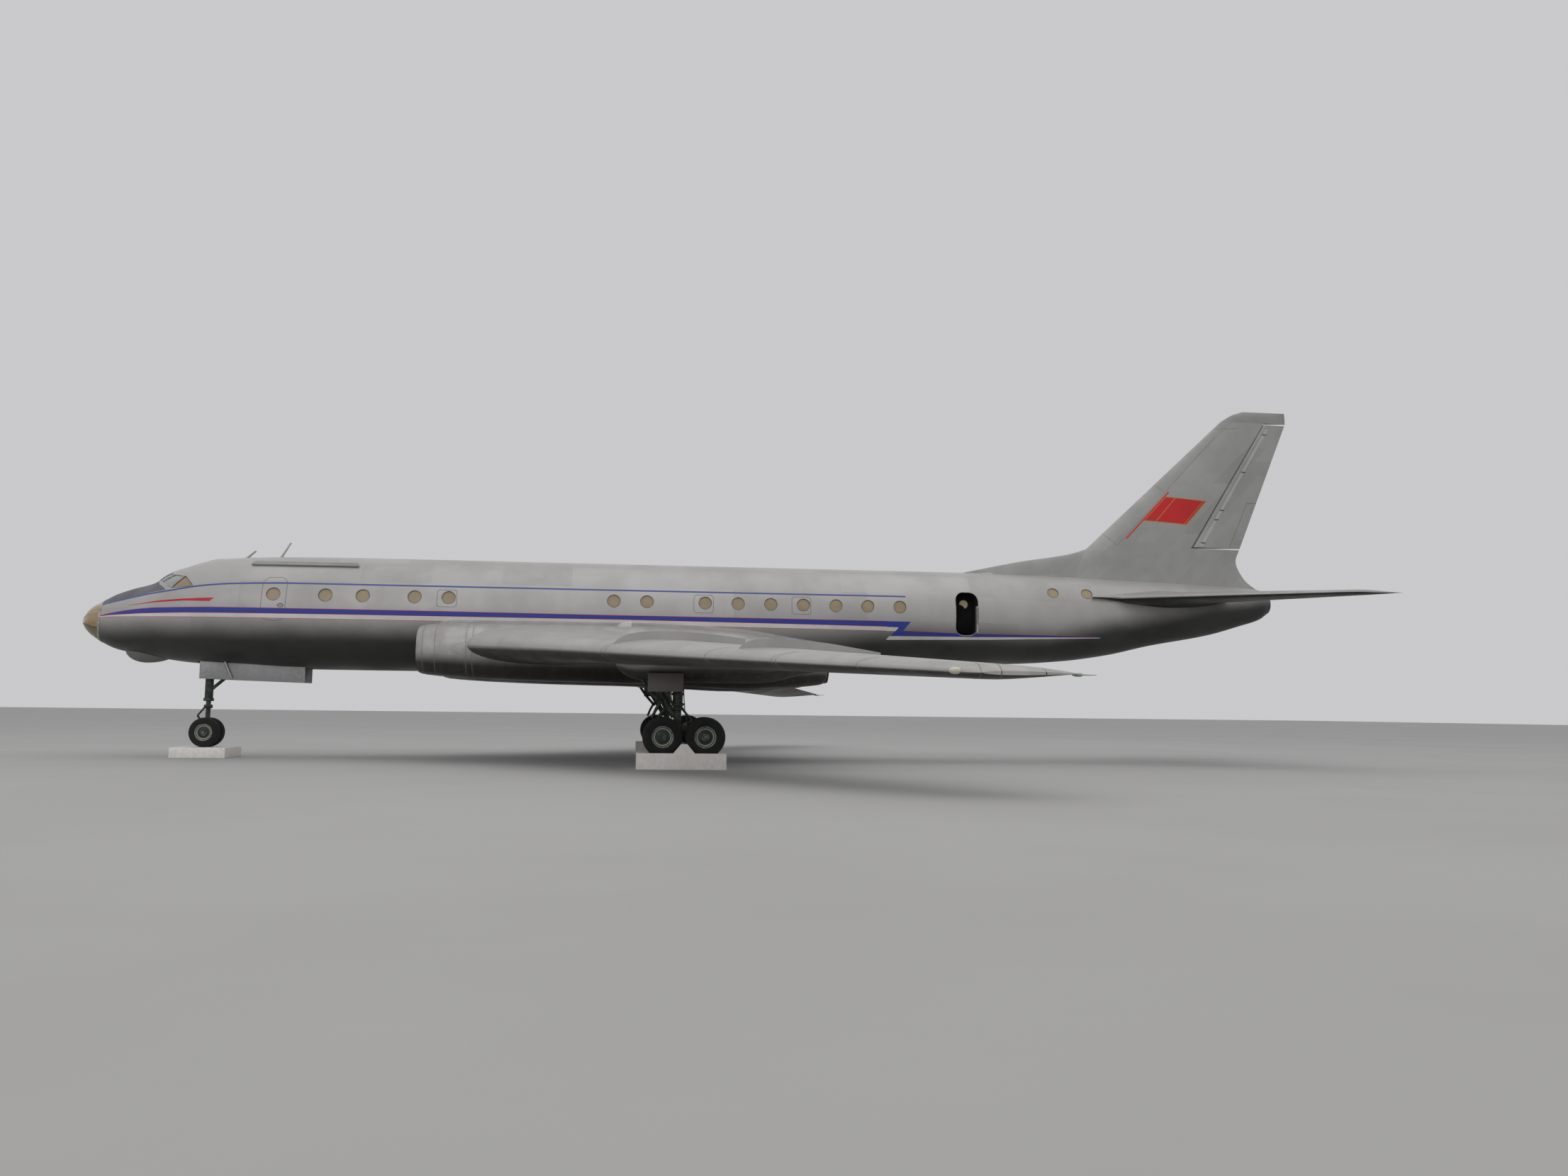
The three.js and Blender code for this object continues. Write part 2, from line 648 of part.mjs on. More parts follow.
function buildNoseGear() {
  const x = NOSE_GEAR_X;
  const legBottom = 1700;
  const upper = bar([x, 0, legBottom], [x, 0, NOSE_BAY.top - JOINT_GAP], 120, 16);
  const brace = bar([x + 60, 0, 2050], [x + 1750, 0, NOSE_BAY.top - 150], 50, 10);
  const foot = box(x + 1600, x + 1900, -120, 120, NOSE_BAY.top - 220, NOSE_BAY.top - JOINT_GAP);
  add("nose_leg", upper.add(brace).add(foot), "gear");

  const strut = bar([x, 0, NOSE_HUB_Z - 20], [x, 0, legBottom - JOINT_GAP], 70, 16);
  const block = box(x - 95, x + 95, -62, 62, NOSE_HUB_Z - 95, NOSE_HUB_Z + 120);
  const link = plate([[x, 1540], [x - 60, 1560], [x - 300, 1260], [x - 90, 930], [x, 930]], -35, 35);
  const collar = bar([x, 0, 1480], [x, 0, 1600], 125, 16);
  const bore = bar([x, -200, NOSE_HUB_Z], [x, 200, NOSE_HUB_Z], BORE_RADIUS, 24);
  add("nose_fork", strut.add(block).add(link).add(collar).subtract(bore), "gear");

  const wheels = wheelPair(NOSE_TYRE, NOSE_TWIN);
  wheels.translate(x, 0, NOSE_HUB_Z);
  add("nose_wheels", toSolid(wheels), "rubber");

  for (const [name, side] of [["left", -1], ["right", 1]]) {
    const y = NOSE_BAY.halfWidth + 20;
    const outline = [[3580, 3200], [6660, 3200], [6660, 2290], [3580, 2380]];
    add("nose_door_" + name, plate(outline, y, y + 28).subtract(bodyGrown), "metal", side);
  }
}

// Plinths
function buildPlinths() {
  const { x0, x1, y0, y1, humpBase, humpTop, humpZ } = PLINTH;
  const middle = BOGIE_X;
  const outline = [
    [x0, 0],
    [x1, 0],
    [x1, PLINTH_TOP],
    [middle + humpBase, PLINTH_TOP],
    [middle + humpTop, humpZ],
    [middle - humpTop, humpZ],
    [middle - humpBase, PLINTH_TOP],
    [x0, PLINTH_TOP],
  ];
  const troughRadius = MAIN_TYRE.radius + 60;
  for (const [name, side] of [["left", -1], ["right", 1]]) {
    let plinth = plate(outline, y0, y1);
    for (const x of [BOGIE_X - BOGIE_WHEELBASE / 2, BOGIE_X + BOGIE_WHEELBASE / 2]) {
      const z = TROUGH_Z + troughRadius;
      const trough = bar([x, y0 + 60, z], [x, y1 - 60, z], troughRadius, 40);
      const flat = box(x - 60, x + 60, y0 + 60, y1 - 60, TROUGH_Z, z);
      plinth = plinth.subtract(trough).subtract(flat);
    }
    add("plinth_" + name, plinth, "plinth", side);
  }
  const { halfLength, halfWidth } = NOSE_PLINTH;
  const [front, back] = [NOSE_GEAR_X - halfLength, NOSE_GEAR_X + halfLength];
  add("plinth_nose", box(front, back, -halfWidth, halfWidth, 0, TROUGH_Z), "plinth");
}

buildBody();
buildRoof();
buildFin();
for (const [name, side] of [["left", -1], ["right", 1]]) {
  buildTailplane(side, name);
  buildNacelle(side, name);
  buildWing(side, name);
  buildPod(side, name);
  buildMainGear(side, name);
}
buildNoseGear();
buildPlinths();

export default aircraft;
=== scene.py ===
"""Looks of the narrow body twin-jet airliner parked on its three white plinths.

Metres in the row frame: +X aft, +Y starboard, +Z up, origin on the ground at mid length. Stations in the
tables and in the code are counted aft from the nose tip. Where a mesh is made, AHEAD turns them into row frame
positions.
"""
import math

import bmesh
import bpy
import numpy as np
from mathutils import Matrix, Vector


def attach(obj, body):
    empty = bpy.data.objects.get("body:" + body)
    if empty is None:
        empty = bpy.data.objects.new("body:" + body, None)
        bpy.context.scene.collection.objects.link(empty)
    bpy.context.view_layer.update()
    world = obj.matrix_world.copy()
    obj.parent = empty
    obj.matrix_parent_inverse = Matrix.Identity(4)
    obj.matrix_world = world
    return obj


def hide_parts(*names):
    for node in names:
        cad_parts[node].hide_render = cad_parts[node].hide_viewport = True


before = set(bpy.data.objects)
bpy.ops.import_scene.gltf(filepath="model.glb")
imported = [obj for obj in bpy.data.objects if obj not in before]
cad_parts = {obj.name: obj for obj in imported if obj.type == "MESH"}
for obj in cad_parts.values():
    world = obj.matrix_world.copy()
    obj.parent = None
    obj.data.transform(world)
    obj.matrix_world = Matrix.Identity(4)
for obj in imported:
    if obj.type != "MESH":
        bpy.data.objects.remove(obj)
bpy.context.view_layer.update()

AHEAD = 19.425
SIDES = (("left", -1), ("right", 1))
# Underside of the thin strips and stripes, just inside the skin
SINK = -0.003

# Body sections: station, top, bottom, half width
GLAZED_NOSE = [
    [0.015, 4.170, 3.960, 0.110],
    [0.090, 4.310, 3.850, 0.240],
    [0.210, 4.450, 3.720, 0.390],
    [0.340, 4.565, 3.610, 0.500],
]
BODY = [
    [0.500, 4.645, 3.500, 0.590],
    [1.020, 4.930, 3.245, 0.850],
    [1.430, 5.080, 3.150, 1.010],
    [2.130, 5.300, 3.020, 1.230],
    [2.560, 5.620, 2.950, 1.350],
    [3.080, 5.820, 2.880, 1.470],
    [3.670, 6.010, 2.835, 1.570],
    [4.800, 6.130, 2.785, 1.685],
    [6.500, 6.185, 2.712, 1.740],
    [8.200, 6.206, 2.706, 1.750],
    [20.00, 6.206, 2.706, 1.750],
    [22.50, 6.206, 2.850, 1.745],
    [25.00, 6.206, 3.150, 1.690],
    [27.40, 6.203, 3.180, 1.560],
    [29.10, 6.180, 3.220, 1.440],
    [30.80, 6.150, 3.340, 1.300],
    [32.30, 6.110, 3.560, 1.150],
    [33.70, 6.070, 3.880, 0.980],
    [35.90, 5.990, 4.300, 0.690],
    [37.00, 5.940, 4.620, 0.520],
    [37.70, 5.860, 4.850, 0.390],
    [38.00, 5.700, 5.060, 0.250],
]
NOSE_TIP = 0.015
TAIL_ROUND, TAIL_END = 38.0, 38.08
DOORWAY_CUT = (26.74, 27.49, 4.04, 5.43, 0.28)
FRONT_DOOR = (5.62, 6.32, 4.10, 5.41)
NOSE_BAY = (3.48, 6.66, 0.40, 3.75)

# Lifting surfaces: span position, leading edge, trailing edge, lift, thickness
WING = [
    [2.90, 11.380, 19.670, 3.430, 1.150],
    [6.00, 14.240, 19.670, 3.205, 0.750],
    [17.00, 22.690, 24.990, 2.378, 0.300],
    [17.27, 23.150, 25.060, 2.345, 0.190],
]
TAILPLANE = [
    [0.45, 31.550, 36.150, 5.396, 0.440],
    [6.15, 37.250, 38.780, 5.226, 0.150],
    [6.30, 37.620, 38.830, 5.222, 0.050],
]
FIN = [
    [5.700, 30.130, 37.900, 0, 0.660],
    [6.230, 30.700, 37.200, 0, 0.620],
    [6.830, 31.340, 36.930, 0, 0.570],
    [7.250, 31.790, 37.080, 0, 0.540],
    [11.65, 36.500, 38.850, 0, 0.230],
]
FIN_CAP = [
    [11.651, 36.500, 38.850, 0, 0.230],
    [11.90, 36.880, 38.850, 0, 0.190],
    [12.04, 37.300, 38.830, 0, 0.080],
]
# Wing tip: span position, share of the thickness
WING_TIP = [(17.12, 0.97), (17.2, 0.86), (17.25, 0.66), (17.27, 0.4)]
# Dorsal ridge: station, top, half width
DORSAL = [
    [27.44, 6.230, 0.025],
    [29.38, 6.640, 0.130],
    [31.05, 6.930, 0.170],
    [32.60, 7.500, 0.190],
]
FLAPS = (("flap_inner", 3.46, 5.04), ("flap_outer", 6.33, 11.56))
FLAP_HINGE = 0.76
FENCES = (
    (8.100, [[16.10, .005], [16.29, .12], [16.62, .18], [17.11, .205], [17.87, .215], [18.98, .22], [19.48, .2]]),
    (11.596, [[19.01, .005], [19.19, .13], [19.41, .18], [19.86, .195], [20.96, .2], [21.7, .175], [22.32, .16]]),
)

# Nacelle sections: station, top, bottom, inner side, outer side
NACELLE = [
    [10.40, 3.960, 2.590, 1.500, 3.260],
    [10.56, 4.010, 2.550, 1.450, 3.330],
    [11.40, 4.060, 2.480, 1.400, 3.400],
    [13.56, 4.080, 2.400, 1.400, 3.440],
    [16.77, 4.080, 2.345, 1.400, 3.460],
    [18.20, 4.040, 2.290, 1.400, 3.450],
    [19.73, 3.950, 2.230, 1.400, 3.420],
    [20.60, 3.820, 2.255, 1.400, 3.380],
    [21.38, 3.640, 2.295, 1.400, 3.330],
    [22.38, 3.430, 2.400, 1.420, 3.220],
]
DUCT_Y = 2.54
ENGINE_Z = 3.19
EXHAUST_X = 22.37
# Air duct: station, radius, height
DUCT = [
    [10.30, 0.600, 3.260],
    [10.48, 0.545, 3.260],
    [13.20, 0.560, 3.230],
    [14.10, 0.700, 3.200],
    [19.30, 0.700, 3.090],
    [20.60, 0.520, 2.990],
    [22.50, 0.440, 2.915],
]
# Undercarriage fairing: station, top, bottom, half width
POD = [
    [16.14, 2.830, 2.810, 0.020],
    [16.23, 2.960, 2.680, 0.220],
    [16.50, 3.060, 2.480, 0.400],
    [16.90, 3.200, 2.370, 0.540],
    [17.50, 3.400, 2.335, 0.620],
    [18.40, 3.530, 2.330, 0.650],
    [19.80, 3.560, 2.335, 0.650],
    [20.50, 3.520, 2.400, 0.610],
    [21.15, 3.420, 2.560, 0.540],
    [22.00, 3.250, 2.720, 0.400],
    [22.90, 3.070, 2.830, 0.220],
    [23.70, 2.930, 2.910, 0.010],
]
MAIN_Y = 5.66
LEG_X = 17.85
BOGIE_X = 18.025
BOGIE_HALF = 0.575
MAIN_HUB_Z = 0.857
NOSE_GEAR_X = 3.75
NOSE_HUB_Z = 0.757
# Twin wheels: tyre radius, tyre width, rim radius, distance between the tyres' middles
MAIN_WHEEL = (0.545, 0.33, 0.288, 0.75)
NOSE_WHEEL = (0.445, 0.275, 0.25, 0.42)


def curve_through(table):
    """Smooth curve through a table's rows, with no overshoot between them"""
    rows = np.array(table, float)
    x, y = rows[:, 0], rows[:, 1:]
    step = np.diff(x)[:, None]
    slope = np.diff(y, axis=0) / step
    tangent = np.vstack([slope[:1], np.zeros_like(slope[1:]), slope[-1:]])
    before, after = slope[:-1], slope[1:]
    w1, w2 = 2 * step[1:] + step[:-1], step[1:] + 2 * step[:-1]
    same = before * after > 0
    safe_before, safe_after = np.where(same, before, 1), np.where(same, after, 1)
    tangent[1:-1] = np.where(same, (w1 + w2) / (w1 / safe_before + w2 / safe_after), 0)

    def at(s):
        s = np.clip(np.atleast_1d(np.asarray(s, float)), x[0], x[-1])
        i = np.clip(np.searchsorted(x, s, side="right") - 1, 0, len(x) - 2)
        h = (x[i + 1] - x[i])[:, None]
        t = (s - x[i])[:, None] / h
        return (
            y[i] * (2 * t**3 - 3 * t**2 + 1)
            + y[i + 1] * (3 * t**2 - 2 * t**3)
            + h * tangent[i] * (t**3 - 2 * t**2 + t)
            + h * tangent[i + 1] * (t**3 - t**2)
        )

    return at


def row_at(table, s):
    """Values of a table at a position, on straight lines between its rows"""
    rows = np.array(table, float)
    return [s] + [float(np.interp(s, rows[:, 0], rows[:, c])) for c in range(1, rows.shape[1])]


body_curve = curve_through(GLAZED_NOSE + BODY)


def full_turn(count):
    """Evenly spaced angles round a circle"""
    return [2 * math.pi * i / count for i in range(count)]


def slab(half, high, low=SINK):
    """Corners of a thin strip's section: across, and off the skin"""
    return (-half, low), (-half, high), (half, high), (half, low)


def oval(x, y, z, wide, tall, count):
    """Ring of points across the X axis"""
    return [(x, y + wide * math.sin(t), z + tall * math.cos(t)) for t in full_turn(count)]


def height_on(line, x):
    """Second value of a line's points at the first one, on straight lines between them"""
    xs, heights = zip(*line)
    return float(np.interp(x, xs, heights))


def body_sections(x):
    """Middle height, half height and half width of the body at stations"""
    x = np.atleast_1d(np.asarray(x, float))
    top, bottom, half = body_curve(x).T
    middle, tall = (top + bottom) / 2, (top - bottom) / 2
    blunt = np.sqrt(np.clip(x / NOSE_TIP, 0, 1))
    end = np.sqrt(np.clip(1 - ((x - TAIL_ROUND) / (TAIL_END - TAIL_ROUND)) ** 2, 0, 1))
    shrink = blunt * np.where(x > TAIL_ROUND, end, 1)
    return middle, tall * shrink, half * shrink


def section_at(x):
    return [float(v[0]) for v in body_sections(x)]


def on_body(x, angle, out=0.0):
    """Point of the body at a station and an angle from the top towards starboard"""
    middle, tall, half = section_at(x)
    across, up = math.sin(angle), math.cos(angle)
    return (x, (half + out) * across, middle + (tall + out) * up)


def angle_at(x, z):
    """Angle from the top at which the body's side passes a height"""
    middle, tall, _ = section_at(x)
    return math.acos(max(-1, min(1, (z - middle) / tall)))


def body_normals(points):
    """Outward normals of the body's smooth skin near points"""
    x = points[:, 0]
    d = 0.01
    middle, tall, half = body_sections(x)
    m1, t1, h1 = body_sections(x + d)
    m0, t0, h0 = body_sections(x - d)
    dm, dt, dh = (m1 - m0) / (2 * d), (t1 - t0) / (2 * d), (h1 - h0) / (2 * d)
    tall, half = np.maximum(tall, 1e-4), np.maximum(half, 1e-4)
    y, z = points[:, 1], points[:, 2] - middle
    gx = -(y**2) * dh / half**3 - z * dm / tall**2 - z**2 * dt / tall**3
    g = np.stack([gx, y / half**2, z / tall**2], 1)
    return g / np.maximum(np.linalg.norm(g, axis=1), 1e-9)[:, None]


# Meshes
def linked(name, data):
    """New object in the scene"""
    item = bpy.data.objects.new(name, data)
    bpy.context.scene.collection.objects.link(item)
    return item


class Shape:
    """Points and faces of one piece, gathered part by part"""

    def __init__(self):
        self.points, self.faces, self.marks = [], [], []

    def add(self, points, faces, mark=0):
        base = len(self.points)
        self.points += [tuple(float(v) for v in p) for p in points]
        self.faces += [tuple(base + i for i in f) for f in faces]
        self.marks += [mark] * len(faces) if isinstance(mark, int) else list(mark)
        return self

    def loft(self, rings, mark=0, ends=True, around=False):
        """Skin through closed rings. around joins the last ring to the first."""
        count, total = len(rings[0]), len(rings)
        faces = []
        for r in range(total if around else total - 1):
            a, b = r * count, (r + 1) % total * count
            for i in range(count):
                j = (i + 1) % count
                faces.append((a + i, a + j, b + j, b + i))
        if ends and not around:
            faces.append(tuple(reversed(range(count))))
            faces.append(tuple(range((total - 1) * count, total * count)))
        return self.add([p for ring in rings for p in ring], faces, mark)

    def bar(self, start, end, r0, r1=None, sides=16, mark=0):
        """Round bar between two points, straight or tapered"""
        a, b = Vector(start), Vector(end)
        line = (b - a).normalized()
        u = line.orthogonal().normalized()
        v = line.cross(u)
        turns = full_turn(sides)
        rings = []
        for middle, r in ((a, r0), (b, r0 if r1 is None else r1)):
            rings.append([middle + r * (math.cos(t) * u + math.sin(t) * v) for t in turns])
        return self.loft(rings, mark)

    def tube(self, path, radius, sides=12):
        """Round tube along a path of points"""
        spots = [Vector(p) for p in path]
        u = (spots[1] - spots[0]).orthogonal().normalized()
        rings = []
        for i, p in enumerate(spots):
            line = (spots[min(i + 1, len(spots) - 1)] - spots[max(i - 1, 0)]).normalized()
            u = (u - u.dot(line) * line).normalized()
            v = line.cross(u)
            rings.append([p + radius * (math.cos(t) * u + math.sin(t) * v) for t in full_turn(sides)])
        return self.loft(rings)

    def box(self, x0, x1, y0, y1, z0, z1, mark=0):
        ring = [(x0, y0), (x1, y0), (x1, y1), (x0, y1)]
        return self.loft([[(x, y, z) for x, y in ring] for z in (z0, z1)], mark)

    def plate(self, outline, y0, y1):
        """Outline in the XZ plane, given a thickness across Y"""
        return self.loft([[(x, y, z) for x, z in outline] for y in (y0, y1)])

    def turned(self, profile, centre, axis="Y", sides=48, mark=0):
        """Shape turned about an axis. The profile's rows are radius, distance along, and a mark if it changes."""
        along = "XYZ".index(axis)
        a, b = [(1, 2), (2, 0), (0, 1)][along]
        rings, marks = [], []
        for row in profile:
            ring = []
            for t in full_turn(sides):
                p = [0.0, 0.0, 0.0]
                p[along] = centre[along] + row[1]
                p[a] = centre[a] + row[0] * math.cos(t)
                p[b] = centre[b] + row[0] * math.sin(t)
                ring.append(p)
            rings.append(ring)
            marks += [row[2] if len(row) > 2 else mark] * sides
        closed = math.dist(profile[0][:2], profile[-1][:2]) < 1e-9
        if closed:
            return self.loft(rings[:-1], marks[: -sides], around=True)
        return self.loft(rings, marks[: -sides] + [mark, mark])

    def egg(self, centre, front, back, wide, tall, steps, sides):
        """Closed round body along X, with its own reach ahead and behind"""
        x, y, z = centre
        rings = []
        for k in range(1, steps):
            t = math.pi * k / steps
            along, size = -math.cos(t), math.sin(t)
            rings.append(oval(x + along * (front if along < 0 else back), y, z, wide * size, tall * size, sides))
        return self.loft(rings)

    def piece(self, name, finish, slot, side=1, **more):
        """Turns the shape into a finished piece"""
        return dress(self.object(name, side), finish, slot, **more)

    def object(self, name, side=1):
        flip = side < 0
        points = [(x - AHEAD, side * y, z) for x, y, z in self.points]
        faces = [tuple(reversed(f)) if flip else f for f in self.faces]
        mesh = bpy.data.meshes.new(name)
        mesh.from_pydata(points, [], faces)
        mesh.polygons.foreach_set("material_index", self.marks)
        edit = bmesh.new()
        edit.from_mesh(mesh)
        bmesh.ops.remove_doubles(edit, verts=edit.verts, dist=1e-5)
        bmesh.ops.recalc_face_normals(edit, faces=edit.faces)
        edit.to_mesh(mesh)
        edit.free()
        return linked(name, mesh)


def shade(item, limit=32):
    """Smooth shading with sharp edges where faces turn more than the limit"""
    item.data.shade_smooth()
    item.data.set_sharp_from_angle(angle=math.radians(limit))


def round_edges(item, width):
    bevel = item.modifiers.new("rounded", "BEVEL")
    bevel.width, bevel.segments = width, 2
    bevel.limit_method = "ANGLE"
    bevel.angle_limit = math.radians(35)
    bevel.harden_normals = False
    bake_modifiers(item)


def bake_modifiers(item):
    graph = bpy.context.evaluated_depsgraph_get()
    mesh = bpy.data.meshes.new_from_object(item.evaluated_get(graph))
    item.modifiers.clear()
    old, item.data = item.data, mesh
    bpy.data.meshes.remove(old)


def carve(item, *cutters, join="DIFFERENCE"):
    """Boolean with each cutter, whose faces keep their own materials"""
    for cutter in cutters:
        cut = item.modifiers.new("carve", "BOOLEAN")
        cut.object, cut.operation = cutter, join
        cut.solver, cut.material_mode = "EXACT", "TRANSFER"
        bake_modifiers(item)
        bpy.data.objects.remove(cutter)


def dress(item, finish, slot, body="root", replaces=(), limit=32, bevel=0.0):
    """Gives a finished mesh its finishes, shading and body"""
    chosen = [M[key] for key in finish.split()]
    marks = [0] * len(item.data.polygons)
    if len(chosen) > 1:
        item.data.polygons.foreach_get("material_index", marks)
    item.data.materials.clear()
    for material in chosen:
        item.data.materials.append(material)
    item.data.polygons.foreach_set("material_index", marks)
    if bevel:
        round_edges(item, bevel)
    shade(item, limit)
    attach(item, body)
    if replaces:
        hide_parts(*replaces)
    return item


# Shader parts
def wire(tree, value, socket):
    if isinstance(value, bpy.types.NodeSocket):
        tree.links.new(value, socket)
    elif value is not None:
        socket.default_value = value


def node(tree, kind, inputs=None, **settings):
    made = tree.nodes.new(kind)
    for key, value in settings.items():
        setattr(made, key, value)
    for key, value in (inputs or {}).items():
        wire(tree, value, made.inputs[key])
    return made


def maths(tree, operation, *values, clamp=False):
    made = node(tree, "ShaderNodeMath", dict(enumerate(values)), operation=operation, use_clamp=clamp)
    return made.outputs[0]


def ramp(tree, value, low, high, to_low=0.0, to_high=1.0):
    """Smooth step of a value between two limits"""
    keys = {"Value": value, "From Min": low, "From Max": high, "To Min": to_low, "To Max": to_high}
    return node(tree, "ShaderNodeMapRange", keys, interpolation_type="SMOOTHSTEP").outputs["Result"]


def blend_colour(tree, share, first, second, mode="MIX"):
    mix = node(tree, "ShaderNodeMix", data_type="RGBA", blend_type=mode, clamp_factor=True)
    wire(tree, share, mix.inputs[0])
    wire(tree, first, mix.inputs[6])
    wire(tree, second, mix.inputs[7])
    return mix.outputs[2]


def noise(tree, vector, scale, detail=3.0, roughness=0.55):
    keys = {"Vector": vector, "Scale": scale, "Detail": detail, "Roughness": roughness}
    return node(tree, "ShaderNodeTexNoise", keys).outputs["Fac"]


def group(name, inputs, outputs, tree_kind="ShaderNodeTree"):
    tree = bpy.data.node_groups.new(name, tree_kind)
    for label, kind, value in inputs:
        socket = tree.interface.new_socket(name=label, in_out="INPUT", socket_type="NodeSocket" + kind)
        if value is not None:
            socket.default_value = value
    for label, kind in outputs:
        tree.interface.new_socket(name=label, in_out="OUTPUT", socket_type="NodeSocket" + kind)
    start = tree.nodes.new("NodeGroupInput")
    end = tree.nodes.new("NodeGroupOutput")
    return tree, start.outputs, end.inputs


def placed(tree, name, **values):
    made = tree.nodes.new("ShaderNodeGroup")
    made.node_tree = bpy.data.node_groups[name]
    for key, value in values.items():
        wire(tree, value, made.inputs[key.replace("_", " ")])
    return made.outputs


def geometry_group(name, inputs):
    """Geometry node group with a geometry, its named settings and a material going in"""
    inputs = [("Geometry", "Geometry", None)] + inputs + [("Seed", "Int", 0), ("Material", "Material", None)]
    tree, given, out = group(name, inputs, [("Geometry", "Geometry")], "GeometryNodeTree")
    return tree, given, out["Geometry"]


def chance(tree, low, high, seed):
    made = tree.nodes.new("FunctionNodeRandomValue")
    made.data_type = "FLOAT"
    for socket in made.inputs:
        if socket.enabled and socket.name in ("Min", "Max", "Seed"):
            wire(tree, {"Min": low, "Max": high, "Seed": seed}[socket.name], socket)
    return next(socket for socket in made.outputs if socket.enabled)


def finish_repeats(tree, keys, material, out):
    placed_ones = node(tree, "GeometryNodeInstanceOnPoints", keys).outputs[0]
    whole = node(tree, "GeometryNodeRealizeInstances", {"Geometry": placed_ones}).outputs[0]
    wire(tree, node(tree, "GeometryNodeSetMaterial", {"Geometry": whole, "Material": material}).outputs[0], out)


def build_repeats():
    """Small heads on points that know their direction, and blades round an axis"""
    tree, given, out = geometry_group("stud_rows", [("Radius", "Float", 0.01), ("Height", "Float", 0.005)])
    top = maths(tree, "MULTIPLY", given["Radius"], 0.62)
    keys = {"Vertices": 8, "Radius Top": top, "Radius Bottom": given["Radius"], "Depth": given["Height"]}
    head = node(tree, "GeometryNodeMeshCone", keys).outputs["Mesh"]
    aim = node(tree, "GeometryNodeInputNamedAttribute", {"Name": "aim"}, data_type="FLOAT_VECTOR").outputs["Attribute"]
    turn = node(tree, "FunctionNodeAlignRotationToVector", {"Vector": aim}, axis="Z").outputs[0]
    size = chance(tree, 0.92, 1.06, given["Seed"])
    keys = {"Points": given["Geometry"], "Instance": head, "Rotation": turn, "Scale": size}
    finish_repeats(tree, keys, given["Material"], out)

    tree, given, out = geometry_group(
        "blade_ring", [("Count", "Int", 24), ("Centre", "Vector", None), ("Wobble", "Float", 0.0)]
    )
    points = node(tree, "GeometryNodePoints", {"Count": given["Count"], "Position": given["Centre"]}).outputs[0]
    index = node(tree, "GeometryNodeInputIndex").outputs[0]
    angle = maths(tree, "MULTIPLY", maths(tree, "DIVIDE", index, given["Count"]), 2 * math.pi)
    shake = maths(tree, "MULTIPLY", chance(tree, -1.0, 1.0, given["Seed"]), given["Wobble"])
    turn = node(tree, "ShaderNodeCombineXYZ", {"X": maths(tree, "ADD", angle, shake)}).outputs[0]
    turn = node(tree, "FunctionNodeEulerToRotation", {0: turn}).outputs[0]
    keys = {"Points": points, "Instance": given["Geometry"], "Rotation": turn}
    finish_repeats(tree, keys, given["Material"], out)


def repeat(item, name, **values):
    """Runs a geometry node group on an item and keeps the result as a plain mesh"""
    step = item.modifiers.new(name, "NODES")
    step.node_group = bpy.data.node_groups[name]
    for socket in step.node_group.interface.items_tree:
        if socket.item_type == "SOCKET" and socket.in_out == "INPUT" and socket.name in values:
            step[socket.identifier] = values[socket.name]
    bake_modifiers(item)


def studs(name, spots, radius, height, finish, slot, body="root", seed=1):
    """Rivets, screws or bolts on (point, direction) pairs, as one piece on one body"""
    mesh = bpy.data.meshes.new(name)
    mesh.from_pydata([(x - AHEAD, y, z) for (x, y, z), _ in spots], [], [])
    aim = mesh.attributes.new("aim", "FLOAT_VECTOR", "POINT")
    aim.data.foreach_set("vector", [float(v) for _, way in spots for v in way])
    item = linked(name, mesh)
    repeat(item, "stud_rows", Radius=radius, Height=height, Seed=seed, Material=M[finish])
    dress(item, finish, slot, body)


